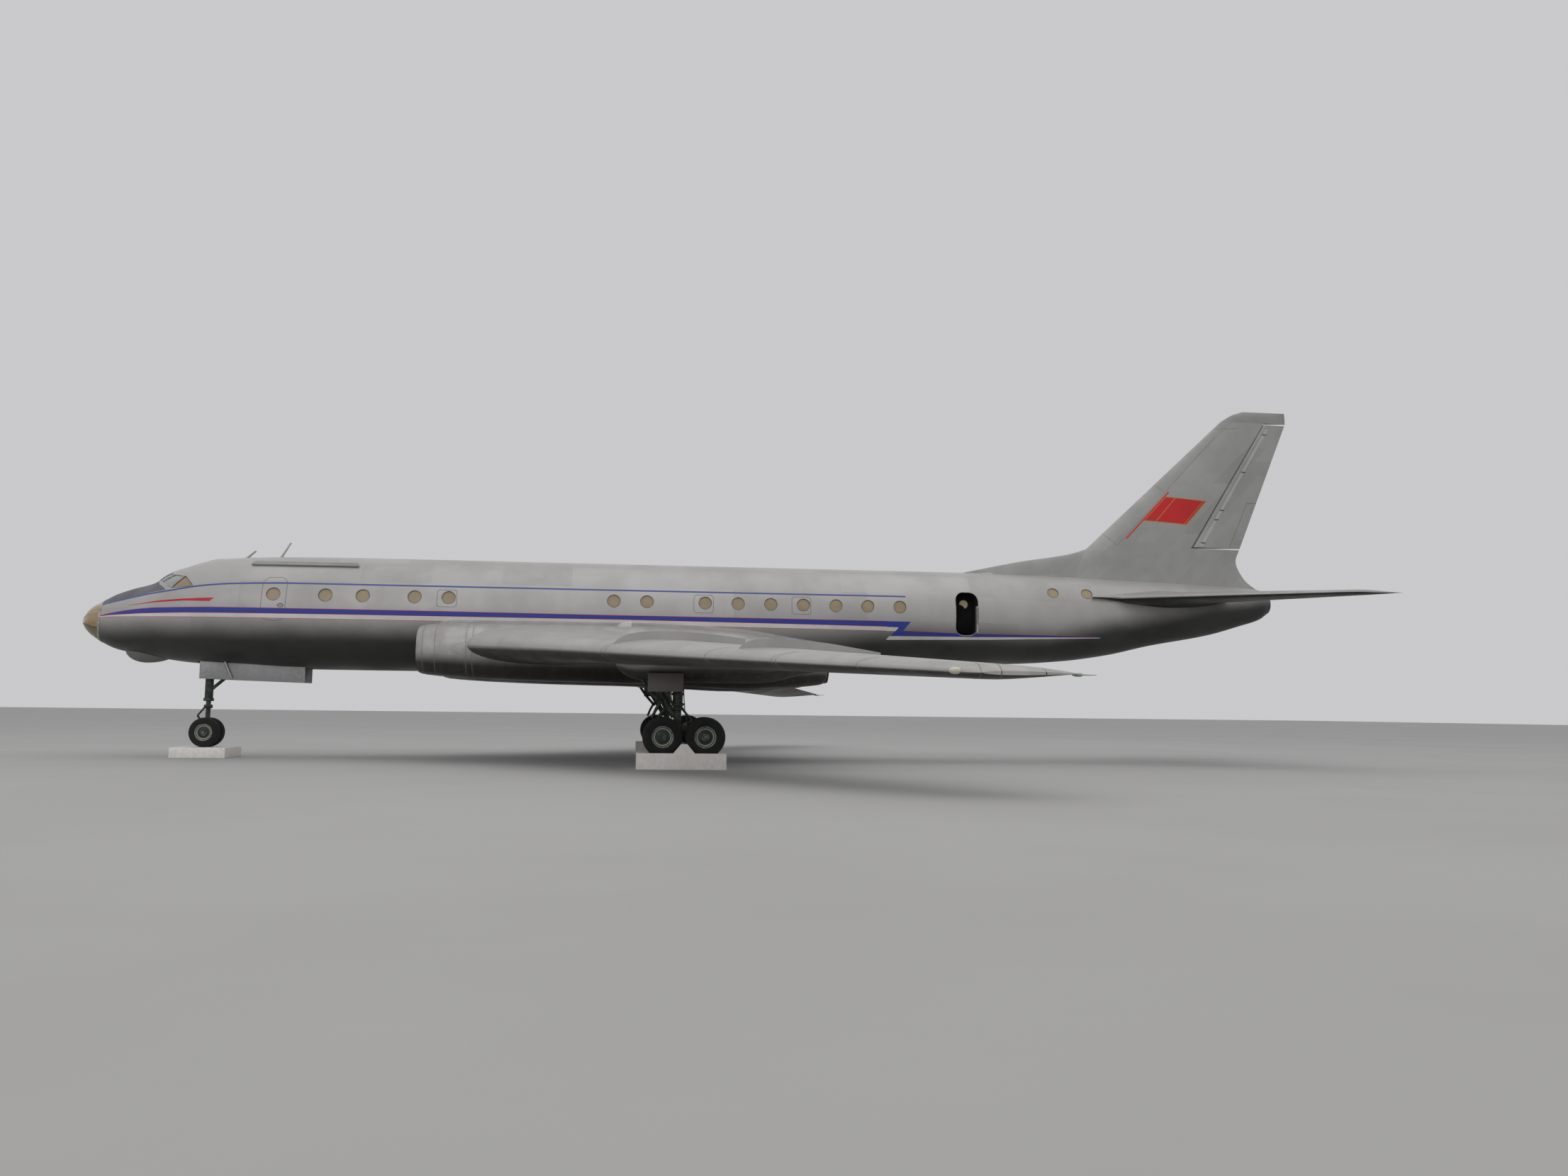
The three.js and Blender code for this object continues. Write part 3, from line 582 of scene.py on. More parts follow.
def build_groups():
    tree, given, out = group(
        "sheet_seams",
        [(label, "Float", value) for label, value in
         (("Along", 0.0), ("Across", 0.0), ("Length", 1.5), ("Width", 0.8), ("Seam", 0.006))],
        [("Tone", "Float"), ("Line", "Float")],
    )
    row = maths(tree, "DIVIDE", given["Across"], given["Width"])
    row_number = maths(tree, "FLOOR", row)
    shifted = maths(tree, "MULTIPLY_ADD", row_number, 0.37, maths(tree, "DIVIDE", given["Along"], given["Length"]))
    cell = maths(tree, "FLOOR", shifted)
    spot = node(tree, "ShaderNodeCombineXYZ", {"X": cell, "Y": row_number}).outputs[0]
    shade_of_sheet = node(tree, "ShaderNodeTexWhiteNoise", {"Vector": spot}, noise_dimensions="3D").outputs["Value"]
    wire(tree, shade_of_sheet, out["Tone"])
    gaps = []
    for value, size in ((row, given["Width"]), (shifted, given["Length"])):
        part = maths(tree, "FRACT", value)
        near = maths(tree, "MINIMUM", part, maths(tree, "SUBTRACT", 1.0, part))
        gaps.append(maths(tree, "MULTIPLY", near, size))
    nearest = maths(tree, "MINIMUM", *gaps)
    wire(tree, ramp(tree, nearest, 0.0, given["Seam"], 1.0, 0.0), out["Line"])

    tree, given, out = group(
        "weathering",
        [("Vector", "Vector", None), ("Patch size", "Float", 1.2), ("Streak size", "Float", 0.25),
         ("Seed", "Float", 0.0)],
        [("Patches", "Float"), ("Streaks", "Float"), ("Grain", "Float")],
    )
    offset = node(tree, "ShaderNodeCombineXYZ", {"X": given["Seed"], "Y": given["Seed"], "Z": given["Seed"]}).outputs[0]
    spot = node(tree, "ShaderNodeVectorMath", {0: given["Vector"], 1: offset}, operation="ADD").outputs[0]
    patches = noise(tree, spot, maths(tree, "DIVIDE", 1.0, given["Patch size"]), 5.0, 0.6)
    wire(tree, ramp(tree, patches, 0.36, 0.66), out["Patches"])
    long = node(tree, "ShaderNodeVectorMath", {0: spot, 1: (1.0, 1.0, 0.09)}, operation="MULTIPLY").outputs[0]
    streaks = noise(tree, long, maths(tree, "DIVIDE", 1.0, given["Streak size"]), 4.0, 0.62)
    wire(tree, ramp(tree, streaks, 0.47, 0.74), out["Streaks"])
    wire(tree, noise(tree, spot, 60.0, 3.0, 0.6), out["Grain"])

    tree, given, out = group("edge_wear", [("Amount", "Float", 1.0), ("Vector", "Vector", None)], [("Mask", "Float")])
    point = node(tree, "ShaderNodeNewGeometry").outputs["Pointiness"]
    edge = ramp(tree, point, 0.51, 0.58)
    broken = ramp(tree, noise(tree, given["Vector"], 9.0, 4.0), 0.4, 0.62)
    wire(tree, maths(tree, "MULTIPLY", maths(tree, "MULTIPLY", edge, broken), given["Amount"], clamp=True), out["Mask"])

    tree, given, out = group(
        "dust",
        [("Vector", "Vector", None), ("Normal", "Vector", None), ("Amount", "Float", 0.4), ("Down", "Float", 0.0)],
        [("Mask", "Float")],
    )
    rise = node(tree, "ShaderNodeSeparateXYZ", {0: given["Normal"]}).outputs["Z"]
    up = ramp(tree, rise, 0.25, 1.0)
    low = ramp(tree, rise, 0.1, -0.9)
    face = node(tree, "ShaderNodeMix", {0: given["Down"], 2: up, 3: low}, data_type="FLOAT").outputs[0]
    speck = ramp(tree, noise(tree, given["Vector"], 2.3, 6.0, 0.7), 0.28, 0.72)
    wire(tree, maths(tree, "MULTIPLY", maths(tree, "MULTIPLY", face, speck), given["Amount"], clamp=True), out["Mask"])


def tone(*screen):
    """Linear colour of screen values from 0 to 255"""
    return tuple((v / 255) ** 2.2 for v in screen) + (1,)


class Finish:
    """One material: its tree, its Principled shader and the places that patterns read"""

    def __init__(self, name, roughness=0.5, metallic=0.0, coat=0.0):
        self.material = bpy.data.materials.new(name)
        self.material.use_nodes = True
        self.tree = self.material.node_tree
        self.shader = self.tree.nodes["Principled BSDF"]
        self.shader.inputs["Roughness"].default_value = roughness
        self.shader.inputs["Metallic"].default_value = metallic
        self.shader.inputs["Coat Weight"].default_value = coat
        self.shader.inputs["Coat Roughness"].default_value = 0.25
        place = node(self.tree, "ShaderNodeTexCoord")
        self.spot, self.normal = place.outputs["Object"], place.outputs["Normal"]
        split = node(self.tree, "ShaderNodeSeparateXYZ", {0: self.spot})
        self.x, self.y, self.z = split.outputs

    def rise(self):
        """How far the surface faces up, from -1 to 1"""
        return node(self.tree, "ShaderNodeSeparateXYZ", {0: self.normal}).outputs["Z"]

    def colour(self, value):
        wire(self.tree, value, self.shader.inputs["Base Color"])

    def rough(self, value):
        wire(self.tree, value, self.shader.inputs["Roughness"])

    def relief(self, height, strength=0.3, depth=0.002):
        keys = {"Height": height, "Strength": strength, "Distance": depth}
        bump = node(self.tree, "ShaderNodeBump", keys)
        wire(self.tree, bump.outputs[0], self.shader.inputs["Normal"])


def weathered(name, colour, stain, roughness=0.45, metallic=0.0, coat=0.0, patch=1.2, streak=0.25, wear=None,
              wear_amount=0.7, dusty=0.25, underside=None, seams=None, stain_amount=0.35, seed=0.0, grain=0.25):
    """Paint or metal with soft patches, run-off streaks, dust, worn edges, sheet seams where it has them, and painted
    shade on faces that look down where a colour for it is given
    """
    made = Finish(name, roughness, metallic, coat)
    tree = made.tree
    old = placed(tree, "weathering", Vector=made.spot, Patch_size=patch, Streak_size=streak, Seed=seed)
    colour, stain = tone(*colour), tone(*stain)
    base = blend_colour(tree, maths(tree, "MULTIPLY", old["Patches"], stain_amount), colour, stain)
    # Painted shade: faces that look down turn to the darker colour given
    if underside is not None:
        base = blend_colour(tree, ramp(tree, made.rise(), -0.02, -0.6), base, tone(*underside))
    height = old["Grain"]
    if seams is not None:
        along, across, length, width = seams(made)
        sheet = placed(tree, "sheet_seams", Along=along, Across=across, Length=length, Width=width)
        shift = maths(tree, "MULTIPLY_ADD", sheet["Tone"], 0.13, 0.9)
        lit = node(tree, "ShaderNodeCombineXYZ", {"X": shift, "Y": shift, "Z": shift}).outputs[0]
        base = blend_colour(tree, 1.0, base, lit, "MULTIPLY")
        base = blend_colour(tree, maths(tree, "MULTIPLY", sheet["Line"], 0.3), base, stain)
        height = maths(tree, "SUBTRACT", maths(tree, "MULTIPLY", height, 0.12), sheet["Line"])
    base = blend_colour(tree, maths(tree, "MULTIPLY", old["Streaks"], 0.3 * stain_amount), base, stain)
    if wear is not None:
        edge = placed(tree, "edge_wear", Amount=wear_amount, Vector=made.spot)
        base = blend_colour(tree, edge["Mask"], base, tone(*wear))
    if dusty:
        dust = placed(tree, "dust", Vector=made.spot, Normal=made.normal, Amount=dusty)
        base = blend_colour(tree, dust["Mask"], base, tone(158, 150, 136))
    made.colour(base)
    made.rough(maths(tree, "MULTIPLY_ADD", old["Patches"], 0.14, max(roughness - 0.06, 0.05)))
    made.relief(height, grain, 0.0015)
    return made


def along_body(made):
    """Sheets wrapped round the body"""
    turn = maths(made.tree, "ARCTAN2", made.y, maths(made.tree, "SUBTRACT", made.z, 4.456))
    return made.x, maths(made.tree, "MULTIPLY", turn, 1.75), 2.1, 0.92


def along_wing(made):
    side = maths(made.tree, "ABSOLUTE", made.y)
    return side, maths(made.tree, "MULTIPLY_ADD", side, -0.77, made.x), 1.35, 0.62


def up_fin(made):
    return made.z, maths(made.tree, "MULTIPLY_ADD", made.z, -1.02, made.x), 1.3, 0.7


def along_nacelle(made):
    return made.x, maths(made.tree, "ABSOLUTE", made.y), 1.28, 0.85


build_groups()
build_repeats()
SILVER, SILVER_OLD = (172, 170, 167), (150, 147, 142)
# Key, name, colour and stain as screen values, roughness, metallic, and what else weathered() takes
FINISHES = [
    # The underside colours of the wing, tailplane and nacelle are painted shade on faces that look down
    ("wing", "wing_silver", (168, 166, 162), (149, 146, 141), .42, .25,
     dict(underside=(68, 65, 61), seams=along_wing, dusty=.12, patch=.9)),
    ("tail", "tail_silver", (156, 156, 154), (136, 135, 132), .46, .2, dict(seams=up_fin, dusty=.15, streak=.3)),
    ("tailplane", "tailplane_silver", (162, 160, 157), (130, 127, 121), .44, .2,
     dict(underside=(34, 35, 32), seams=along_wing, dusty=.12)),
    ("nacelle", "nacelle_silver", (166, 165, 163), (126, 122, 115), .4, .35,
     dict(underside=(60, 57, 54), seams=along_nacelle, dusty=.2, patch=.8, stain_amount=.5)),
    ("metal", "bare_metal", (176, 177, 178), (120, 118, 112), .34, .7, dict(grain=.15)),
    ("dark", "dark_metal", (84, 82, 80), (66, 62, 59), .5, .3, dict(wear=(126, 124, 120))),
    ("door", "gear_door_grey", (150, 150, 151), (124, 122, 120), .45, .3, dict(wear=(182, 182, 180))),
    ("rail", "rail_grey", (142, 145, 140), (112, 113, 108), .5, .3, {}),
    ("heat", "heat_stained_metal", (92, 82, 72), (48, 42, 40), .42, .8, dict(patch=.35, stain_amount=.8)),
    ("duct", "duct_lining", (70, 70, 68), (40, 39, 37), .6, .3, {}),
    ("bay", "bay_primer", (86, 90, 78), (44, 43, 38), .75, 0, dict(stain_amount=.8, dusty=.1)),
    # The near-black cabin colour is painted shade: the inside of the open doorway is coloured as dark as its shadow
    ("cabin", "cabin_dark", (18, 18, 18), (8, 8, 8), .9, 0, dict(dusty=0)),
    ("cover", "window_blind", (150, 133, 104), (128, 114, 90), .55, 0,
     dict(patch=.5, streak=.2, coat=.5, dusty=0, stain_amount=.4)),
    ("rim", "window_rim", (104, 92, 86), (70, 62, 58), .5, .3, dict(wear=(150, 146, 140))),
    ("glass", "cockpit_glass", (142, 148, 143), (112, 117, 113), .1, 0, dict(coat=1, patch=.8, dusty=.12, grain=.02)),
    ("amber", "nose_glass", (156, 130, 90), (134, 110, 74), .25, 0,
     dict(coat=.7, patch=.35, dusty=.1, grain=.03, stain_amount=.6)),
    ("olive", "lower_nose_glass", (110, 100, 60), (82, 74, 46), .25, 0, dict(coat=.7, patch=.35, dusty=0, grain=.03)),
    ("frame", "glazing_frame", (150, 150, 146), (104, 102, 96), .42, .3, dict(wear=(196, 194, 190), dusty=.15)),
    ("glare", "anti_glare_paint", (101, 102, 108), (72, 74, 77), .75, 0, dict(dusty=.2)),
    ("blue", "stripe_blue", (40, 54, 148), (66, 76, 142), .5, 0, dict(stain_amount=.3)),
    ("white", "stripe_white", (214, 211, 206), (170, 166, 158), .5, 0, dict(stain_amount=.3)),
    ("maroon", "stripe_red", (192, 22, 44), (158, 46, 56), .5, 0, dict(stain_amount=.3, dusty=.05)),
    ("thin_blue", "line_blue", (62, 78, 146), (96, 106, 146), .5, 0, dict(stain_amount=.3, dusty=.05)),
    ("groove", "seam_shadow", (84, 83, 81), (62, 61, 59), .8, 0, dict(dusty=0)),
    ("seam", "faint_seam", (124, 121, 117), (106, 103, 99), .7, 0, dict(dusty=0)),
    ("flag", "flag_red", (196, 20, 24), (160, 36, 36), .5, 0, dict(streak=.12, dusty=.05)),
    ("pole", "flag_pole_red", (200, 62, 42), (168, 70, 48), .5, 0, dict(stain_amount=.3)),
    ("gold", "flag_gold", (176, 142, 74), (140, 112, 66), .45, .2, {}),
    ("gear", "gear_green", (44, 54, 46), (30, 34, 29), .55, .2,
     dict(patch=.9, wear=(96, 100, 92), stain_amount=.4, streak=.2, dusty=.12)),
    ("leg_door", "leg_door_grey", (108, 103, 99), (88, 83, 79), .55, .2, dict(stain_amount=.4, dusty=.1)),
    ("fence", "fence_silver", (164, 162, 159), (144, 141, 137), .5, .2, dict(dusty=.1)),
    ("tyre", "tyre_rubber", (25, 25, 26), (36, 35, 34), .85, 0,
     dict(patch=.3, streak=.1, wear=(56, 55, 52), dusty=.12, grain=.5)),
    ("wheel", "wheel_green", (112, 122, 106), (76, 82, 72), .5, .2,
     dict(patch=.12, wear=(168, 168, 160), stain_amount=.6)),
    ("hub", "hub_green", (52, 62, 54), (28, 32, 28), .5, .3, dict(patch=.1, wear=(140, 140, 132))),
    # The lighter silver of the rudder's nose band is a painted highlight along the round nose
    ("band", "band_silver", (176, 176, 173), (150, 149, 146), .45, .2, {}),
    ("lit_blind", "lit_blind", (224, 204, 156), (196, 176, 130), .6, 0, dict(dusty=0)),
    ("bright", "bright_ring", (190, 190, 182), (150, 150, 142), .4, .3, {}),
    ("tip", "tip_paint", (138, 140, 136), (118, 119, 115), .5, 0, dict(dusty=.2)),
    ("tip_glass", "tip_light_glass", (150, 160, 150), (112, 122, 112), .08, 0, dict(coat=1)),
    ("lens", "lens_glass", (196, 190, 172), (150, 144, 128), .1, 0, dict(coat=1)),
    ("radome", "radome_paint", (114, 116, 111), (92, 94, 89), .5, 0, dict(dusty=.1)),
    ("plinth", "whitewash", (236, 232, 227), (216, 211, 205), .9, 0,
     dict(patch=1.6, streak=.3, wear=(196, 190, 183), wear_amount=.3, dusty=0, stain_amount=.2, grain=.6)),
]


def body_paint_with_painted_shade():
    """Silver body paint with painted shade: the colour turns dark towards the belly, on faces that look down and on the
    tail cone under the tailplane
    """
    made = weathered("body_silver_and_painted_shade", SILVER, SILVER_OLD, .44, .25, .15, seams=along_body, dusty=.1, stain_amount=.28)
    tree = made.tree
    upper = made.shader.inputs["Base Color"].links[0].from_socket
    # Painted shade: below a wavy line that shifts along the body, on faces that look down and under the tailplane, the
    # colour turns dark
    wander = noise(tree, made.spot, 0.8, 4.0)
    aft = maths(tree, "MAXIMUM", maths(tree, "SUBTRACT", made.x, 28 - AHEAD), 0.0)
    middle = ramp(tree, made.x, 15 - AHEAD, 21 - AHEAD, -0.1, 0.05)
    height = maths(tree, "MULTIPLY_ADD", aft, -0.2, maths(tree, "ADD", made.z, middle))
    height = maths(tree, "MULTIPLY_ADD", wander, 0.3, height)
    # Dark colour of the painted shade
    lower = blend_colour(tree, ramp(tree, wander, 0.35, 0.7), tone(58, 59, 57), tone(46, 48, 45))
    share = maths(tree, "MAXIMUM", ramp(tree, height, 4.3, 3.5), ramp(tree, made.rise(), -0.1, -0.7))
    made.colour(blend_colour(tree, share, upper, lower))
    return made.material


M = {"body": body_paint_with_painted_shade()}
for finish_key, *look, more in FINISHES:
    M[finish_key] = weathered(*look, **more).material



# Body
def outline_circle(x, z, radius, side, count=40):
    """Closed outline on the body's side as stations and angles"""
    turn = angle_at(x, z)
    _, tall, half = section_at(x)
    reach = math.hypot(half * math.cos(turn), tall * math.sin(turn))
    return [(x + radius * math.cos(t), side * (turn - radius * math.sin(t) / reach)) for t in full_turn(count)]


def outline_rounded(x0, x1, z0, z1, radius, side, grow=0.0, steps=6):
    """Rectangle with round corners on the body's side"""
    corners = [
        (x1 - radius, z1 - radius, 0),
        (x0 + radius, z1 - radius, 90),
        (x0 + radius, z0 + radius, 180),
        (x1 - radius, z0 + radius, 270),
    ]
    flat = []
    for x, z, start in corners:
        for k in range(steps + 1):
            t = math.radians(start + 90 * k / steps)
            flat.append((x + (radius + grow) * math.cos(t), z + (radius + grow) * math.sin(t)))
    spots = []
    for (xa, za), (xb, zb) in zip(flat, flat[1:] + flat[:1]):
        parts = max(1, int(math.hypot(xb - xa, zb - za) / 0.12))
        for k in range(parts):
            x, z = xa + (xb - xa) * k / parts, za + (zb - za) * k / parts
            spots.append((x, side * angle_at(x, z)))
    return spots


def shrink(outline, share):
    x = sum(p[0] for p in outline) / len(outline)
    a = sum(p[1] for p in outline) / len(outline)
    return [(x + (p[0] - x) * share, a + (p[1] - a) * share) for p in outline]


def pad_on_body(shape, outline, low, high, low_mark=0, side_mark=0, high_mark=0, rings=5):
    """Closed pad that follows the body between two distances from its skin"""
    shares = [1 - k / rings for k in range(rings)] + [0.001]
    top = [[on_body(x, a, high) for x, a in shrink(outline, s)] for s in shares]
    base = [[on_body(x, a, low) for x, a in shrink(outline, s)] for s in shares]
    rows = top[::-1] + base
    count = len(outline)
    marks = [high_mark] * (count * rings) + [side_mark] * count + [low_mark] * (count * rings)
    shape.loft(rows, marks + [high_mark, low_mark])


def collar_on_body(shape, outer, inner, low, high, mark=0):
    """Ring on the body between two outlines with equal numbers of points"""
    rows = [(outer, low), (outer, high), (inner, high), (inner, low)]
    shape.loft([[on_body(x, a, out) for x, a in line] for line, out in rows], mark, around=True)


def strip_ring(x, turns, high, low=SINK):
    """Section of a strip on the body, out along its face and back along its underside"""
    return [on_body(x, t, high) for t in turns] + [on_body(x, t, low) for t in reversed(turns)]


def band_on_body(shape, xs, top, bottom, side, out=0.0022, rows=3):
    """Stripe on the body's side between two lines given as (station, height) rows"""
    rings = []
    for x in xs:
        z1 = height_on(top, x)
        z0 = min(height_on(bottom, x), z1 - 0.0005)
        rings.append(strip_ring(x, [side * angle_at(x, z1 + (z0 - z1) * k / rows) for k in range(rows + 1)], out))
    shape.loft(rings)


def stations(start, end, step):
    return list(np.linspace(start, end, max(2, int(round((end - start) / step)) + 1)))


# Round windows: station, height, radius, depth
CABIN_WINDOWS = (5.95, 7.45, 8.53, 10.04, 11.04, 15.98, 16.99, 18.78, 19.80, 20.82, 21.84, 22.87, 23.88, 24.91)
WINDOWS = [(x, 4.89, 0.198, -0.022) for x in CABIN_WINDOWS] + [(x, 5.50, 0.183, -0.018) for x in (30.08, 31.25)]
EXITS = [(10.70, 11.28, 4.60, 5.12), (18.43, 19.03, 4.57, 5.13), (21.48, 22.07, 4.59, 5.14)]
SERVICE_DOOR = (5.6, 6.3, 4.12, 5.38)
PAINT, BAY, CABIN, BLIND, RIM, GLASS, GROOVE = range(7)
# Cockpit panes of the starboard side: station and angle from the top in degrees
PANES = [
    [(2.20, 2.2), (2.31, 24.5), (2.64, 22.5), (2.60, 2.2)],
    [(2.345, 28), (2.47, 40.5), (2.80, 33), (2.69, 26)],
    [(2.52, 43), (2.70, 53), (2.88, 58.2), (3.17, 45), (3.08, 41.5), (2.86, 35.5)],
    [(2.90, 60.2), (3.235, 45.4), (3.58, 64.4)],
]


def pane_outline(corners, side):
    """Pane with round corners; its edges are cut into short lengths"""
    inset, reach = 0.035, 1.35
    spots = [Vector((x, math.radians(a) * reach)) for x, a in corners]
    line = []
    for i, p in enumerate(spots):
        before, after = spots[i - 1], spots[(i + 1) % len(spots)]
        a = p + (before - p).normalized() * inset
        b = p + (after - p).normalized() * inset
        for k in range(5):
            t = k / 4
            line.append(a * (1 - t) ** 2 + p * (2 * t * (1 - t)) + b * t**2)
        last = after + (p - after).normalized() * inset
        parts = max(1, int((last - b).length / 0.07))
        line += [b + (last - b) * (k / parts) for k in range(1, parts)]
    return [(p[0], side * p[1] / reach) for p in line]


def build_fuselage():
    xs = stations(0.5, 2.0, 0.06) + stations(2.0, 4.4, 0.08)[1:] + stations(4.4, 22, 0.22)[1:]
    xs += stations(22, 36, 0.18)[1:] + stations(36, TAIL_ROUND, 0.06)[1:]
    xs += [TAIL_ROUND + (TAIL_END - TAIL_ROUND) * v for v in (0.25, 0.5, 0.7, 0.85, 0.95, 0.9999)]
    skin = Shape().loft([[on_body(x, t) for t in full_turn(128)] for x in xs], PAINT).object("fuselage_skin")
    for key in ("body", "bay", "cabin", "cover", "rim", "glass", "groove"):
        skin.data.materials.append(M[key])

    x0, x1, half, top = NOSE_BAY
    bay = Shape().box(x0, x1, -half, half, 2.0, top, BAY)
    # The doorway is cut as a deep box whose walls take the near-black cabin colour, which is painted shade
    outline = outline_rounded(*DOORWAY_CUT, -1)
    door = Shape().loft([[(x, y, on_body(x, a)[2]) for x, a in outline] for y in (-2.5, -0.86)], CABIN)
    windows, grooves = Shape(), Shape()
    for _, side in SIDES:
        for x, z, radius, depth in WINDOWS:
            pad_on_body(windows, outline_circle(x, z, radius, side), depth, 0.06, BLIND, RIM, RIM, 3)
        for corners in PANES:
            mark, rings = (BLIND, 3) if len(corners) == 3 else (GLASS, 5)
            pad_on_body(windows, pane_outline(corners, side), -0.022, 0.25, mark, RIM, RIM, rings)
        for x0, x1, z0, z1 in EXITS + [FRONT_DOOR if side < 0 else SERVICE_DOOR]:
            radius = 0.1 if z1 - z0 < 1 else 0.24
            outer, inner = (outline_rounded(x0, x1, z0, z1, radius, side, grow) for grow in (0.005, -0.005))
            collar_on_body(grooves, outer, inner[: len(outer)], -0.01, 0.05, GROOVE)
    cutters = [shape.object("cutter") for shape in (bay, door, windows, grooves)]
    for item in cutters:
        for material in skin.data.materials:
            item.data.materials.append(material)
    carve(skin, *cutters)
    keep_body_normals(skin)
    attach(skin, "root")
    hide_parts("fuselage_nose", "fuselage_centre", "fuselage_tail", "front_door")


def keep_body_normals(item):
    """Skin corners take the smooth body's own normals; other faces stay flat"""
    mesh = item.data
    mesh.shade_smooth()
    ahead = np.array([AHEAD, 0, 0])
    points = np.array([v.co for v in mesh.vertices], float) + ahead
    smooth = body_normals(points)
    normals = np.zeros((len(mesh.loops), 3))
    for face in mesh.polygons:
        middle = np.array(face.center)[None] + ahead
        lies = float(body_normals(middle)[0] @ np.array(face.normal)) > 0.93
        for corner in face.loop_indices:
            vertex = mesh.loops[corner].vertex_index
            normals[corner] = smooth[vertex] if lies else face.normal
    mesh.normals_split_custom_set([tuple(n) for n in normals])


def raised(line, rise):
    return [(x, z + rise) for x, z in line]


def build_stripes(name, side):
    """Cheat line, its tail and the thin window line on one side"""
    blue, white, red, thin = Shape(), Shape(), Shape(), Shape()
    top = [(.56, 4.19), (.72, 4.215), (1.12, 4.29), (1.56, 4.36), (1.99, 4.41), (2.45, 4.44), (3.44, 4.46),
           (4.06, 4.47), (10, 4.47), (16, 4.45), (24.7, 4.44), (25.27, 4.44)]
    low = [(.56, 4.18), (.72, 4.19), (1.14, 4.22), (1.58, 4.24), (2.01, 4.26), (2.46, 4.27), (3.45, 4.29),
           (8, 4.305), (16.3, 4.31), (24.6, 4.26)]
    base = [(.56, 4.16), (1.14, 4.165), (8, 4.165), (16.3, 4.16), (24.6, 4.13)]
    long = stations(0.74, 4, 0.06) + stations(4.1, 24.5, 0.2)
    band_on_body(blue, long, raised(top, -.012), raised(low, .012), side)
    for upper, lower in ((top, raised(top, -.011)), (raised(low, .011), low), (raised(base, .009), base)):
        band_on_body(red, long, upper, lower, side, 0.0024, 1)
    band_on_body(white, long, low, raised(base, .008), side, 0.002, 2)
    band_on_body(white, [24.5, 24.79, 24.84, 24.88], [(24.5, 4.25), (24.88, 4.243)],
                 [(24.5, 4.13), (24.79, 4.13), (24.88, 4.238)], side, 0.002)
    band_on_body(blue, [24.49, 24.66, 24.77, 24.88, 24.8801, 25.03, 25.0301, 25.15, 25.26], [(24.49, 4.43)],
                 [(24.49, 4.265), (24.88, 4.255), (24.8801, 3.995), (25.03, 3.995), (25.0301, 4.14), (25.26, 4.425)],
                 side)
    band_on_body(blue, [24.662, 24.77, 24.88], [(24.662, 3.995), (24.88, 4.26)], [(24.662, 3.99), (24.88, 3.995)], side)

    x0, x1, sill, _, corner = DOORWAY_CUT
    tail, tops = stations(25.02, 26.7, 0.2) + stations(26.73, 27.5, 0.03) + stations(27.53, 31.8, 0.2), []
    for x in tail:
        z = height_on([(25.02, 4.142), (26.75, 4.10)], x)
        if side < 0 and x0 < x < x1:
            z = min(z, sill + corner - math.sqrt(corner**2 - max(x0 + corner - x, x - x1 + corner, 0) ** 2))
        tops.append((x, z))
    flat = [] if side > 0 else [(26.7, 3.995), (27.5, 4.0)]
    band_on_body(blue, tail, tops, [(25.02, 3.995), *flat, (28, 4.02), (31.8, 4.085)], side)
    edge = [(25.05, 4.15), (26.75, 4.108), (31.6, 4.107)]
    for x0, x1 in ((25.05, 26.72), (27.51, 31.6)):
        band_on_body(red, stations(x0, x1, 0.2), edge, [(25.05, 4.14), (26.75, 4.098)], side, 0.0024, 1)
    band_on_body(white, [24.51, 24.56] + stations(24.6, 31.7, 0.2),
                 [(24.51, 3.862), (24.6, 3.972), (28, 4.008), (31.7, 4.075)],
                 [(24.51, 3.86), (28, 3.93), (31.7, 4.06)], side, 0.002)
    line = [(.68, 4.545), (1.02, 4.62), (1.46, 4.71), (2.09, 4.85), (2.76, 4.94), (3.17, 5.01), (3.58, 5.08),
            (3.97, 5.13), (4.56, 5.18), (5.34, 5.21), (6.19, 5.23)]
    band_on_body(thin, stations(0.71, 4, 0.05) + stations(4.1, 25.11, 0.2), raised(line, .024), raised(line, -.024),
                 side, 0.0026, 1)
    band_on_body(red, stations(1.62, 4.25, 0.06), [(1.62, 4.512), (2.57, 4.65), (3.35, 4.71), (4.25, 4.75)],
                 [(1.62, 4.508), (2.40, 4.59), (3.36, 4.65), (4.14, 4.64), (4.25, 4.745)], side, 0.0024)
    blue.piece("stripe_blue_" + name, "blue", "upper_paint")
    white.piece("stripe_white_" + name, "white", "upper_paint")
    red.piece("stripe_red_" + name, "maroon", "upper_paint")
    thin.piece("line_blue_" + name, "thin_blue", "upper_paint")


def build_glare_panel():
    """Dark paint ahead of the windscreen, in one middle part and one part beside each pane"""
    edge = [(.66, 4.578), (1.02, 4.65), (1.46, 4.74), (2.09, 4.88), (2.3, 4.92), (2.62, 4.965), (2.79, 5.0)]
    base = [(2.18, 0), (2.2, 8), (2.31, 28), (2.345, 31), (2.47, 46.5), (2.62, 54.5), (2.79, 63.5)]
    rings = []
    for x in stations(0.69, 2.18, 0.04):
        turn = angle_at(x, height_on(edge, x))
        rings.append(strip_ring(x, [-turn + 2 * turn * k / 48 for k in range(49)], 0.002))
    glare = Shape().loft(rings)
    for _, side in SIDES:
        rings = []
        for x in stations(2.179, 2.35, 0.01) + stations(2.37, 2.785, 0.025):
            low = angle_at(x, height_on(edge, x))
            high = min(math.radians(height_on(base, x)), low - 0.002)
            rings.append(strip_ring(x, [side * (high + (low - high) * k / 20) for k in range(21)], 0.002))
        glare.loft(rings)
    glare.piece("anti_glare_panel", "glare", "upper_paint")


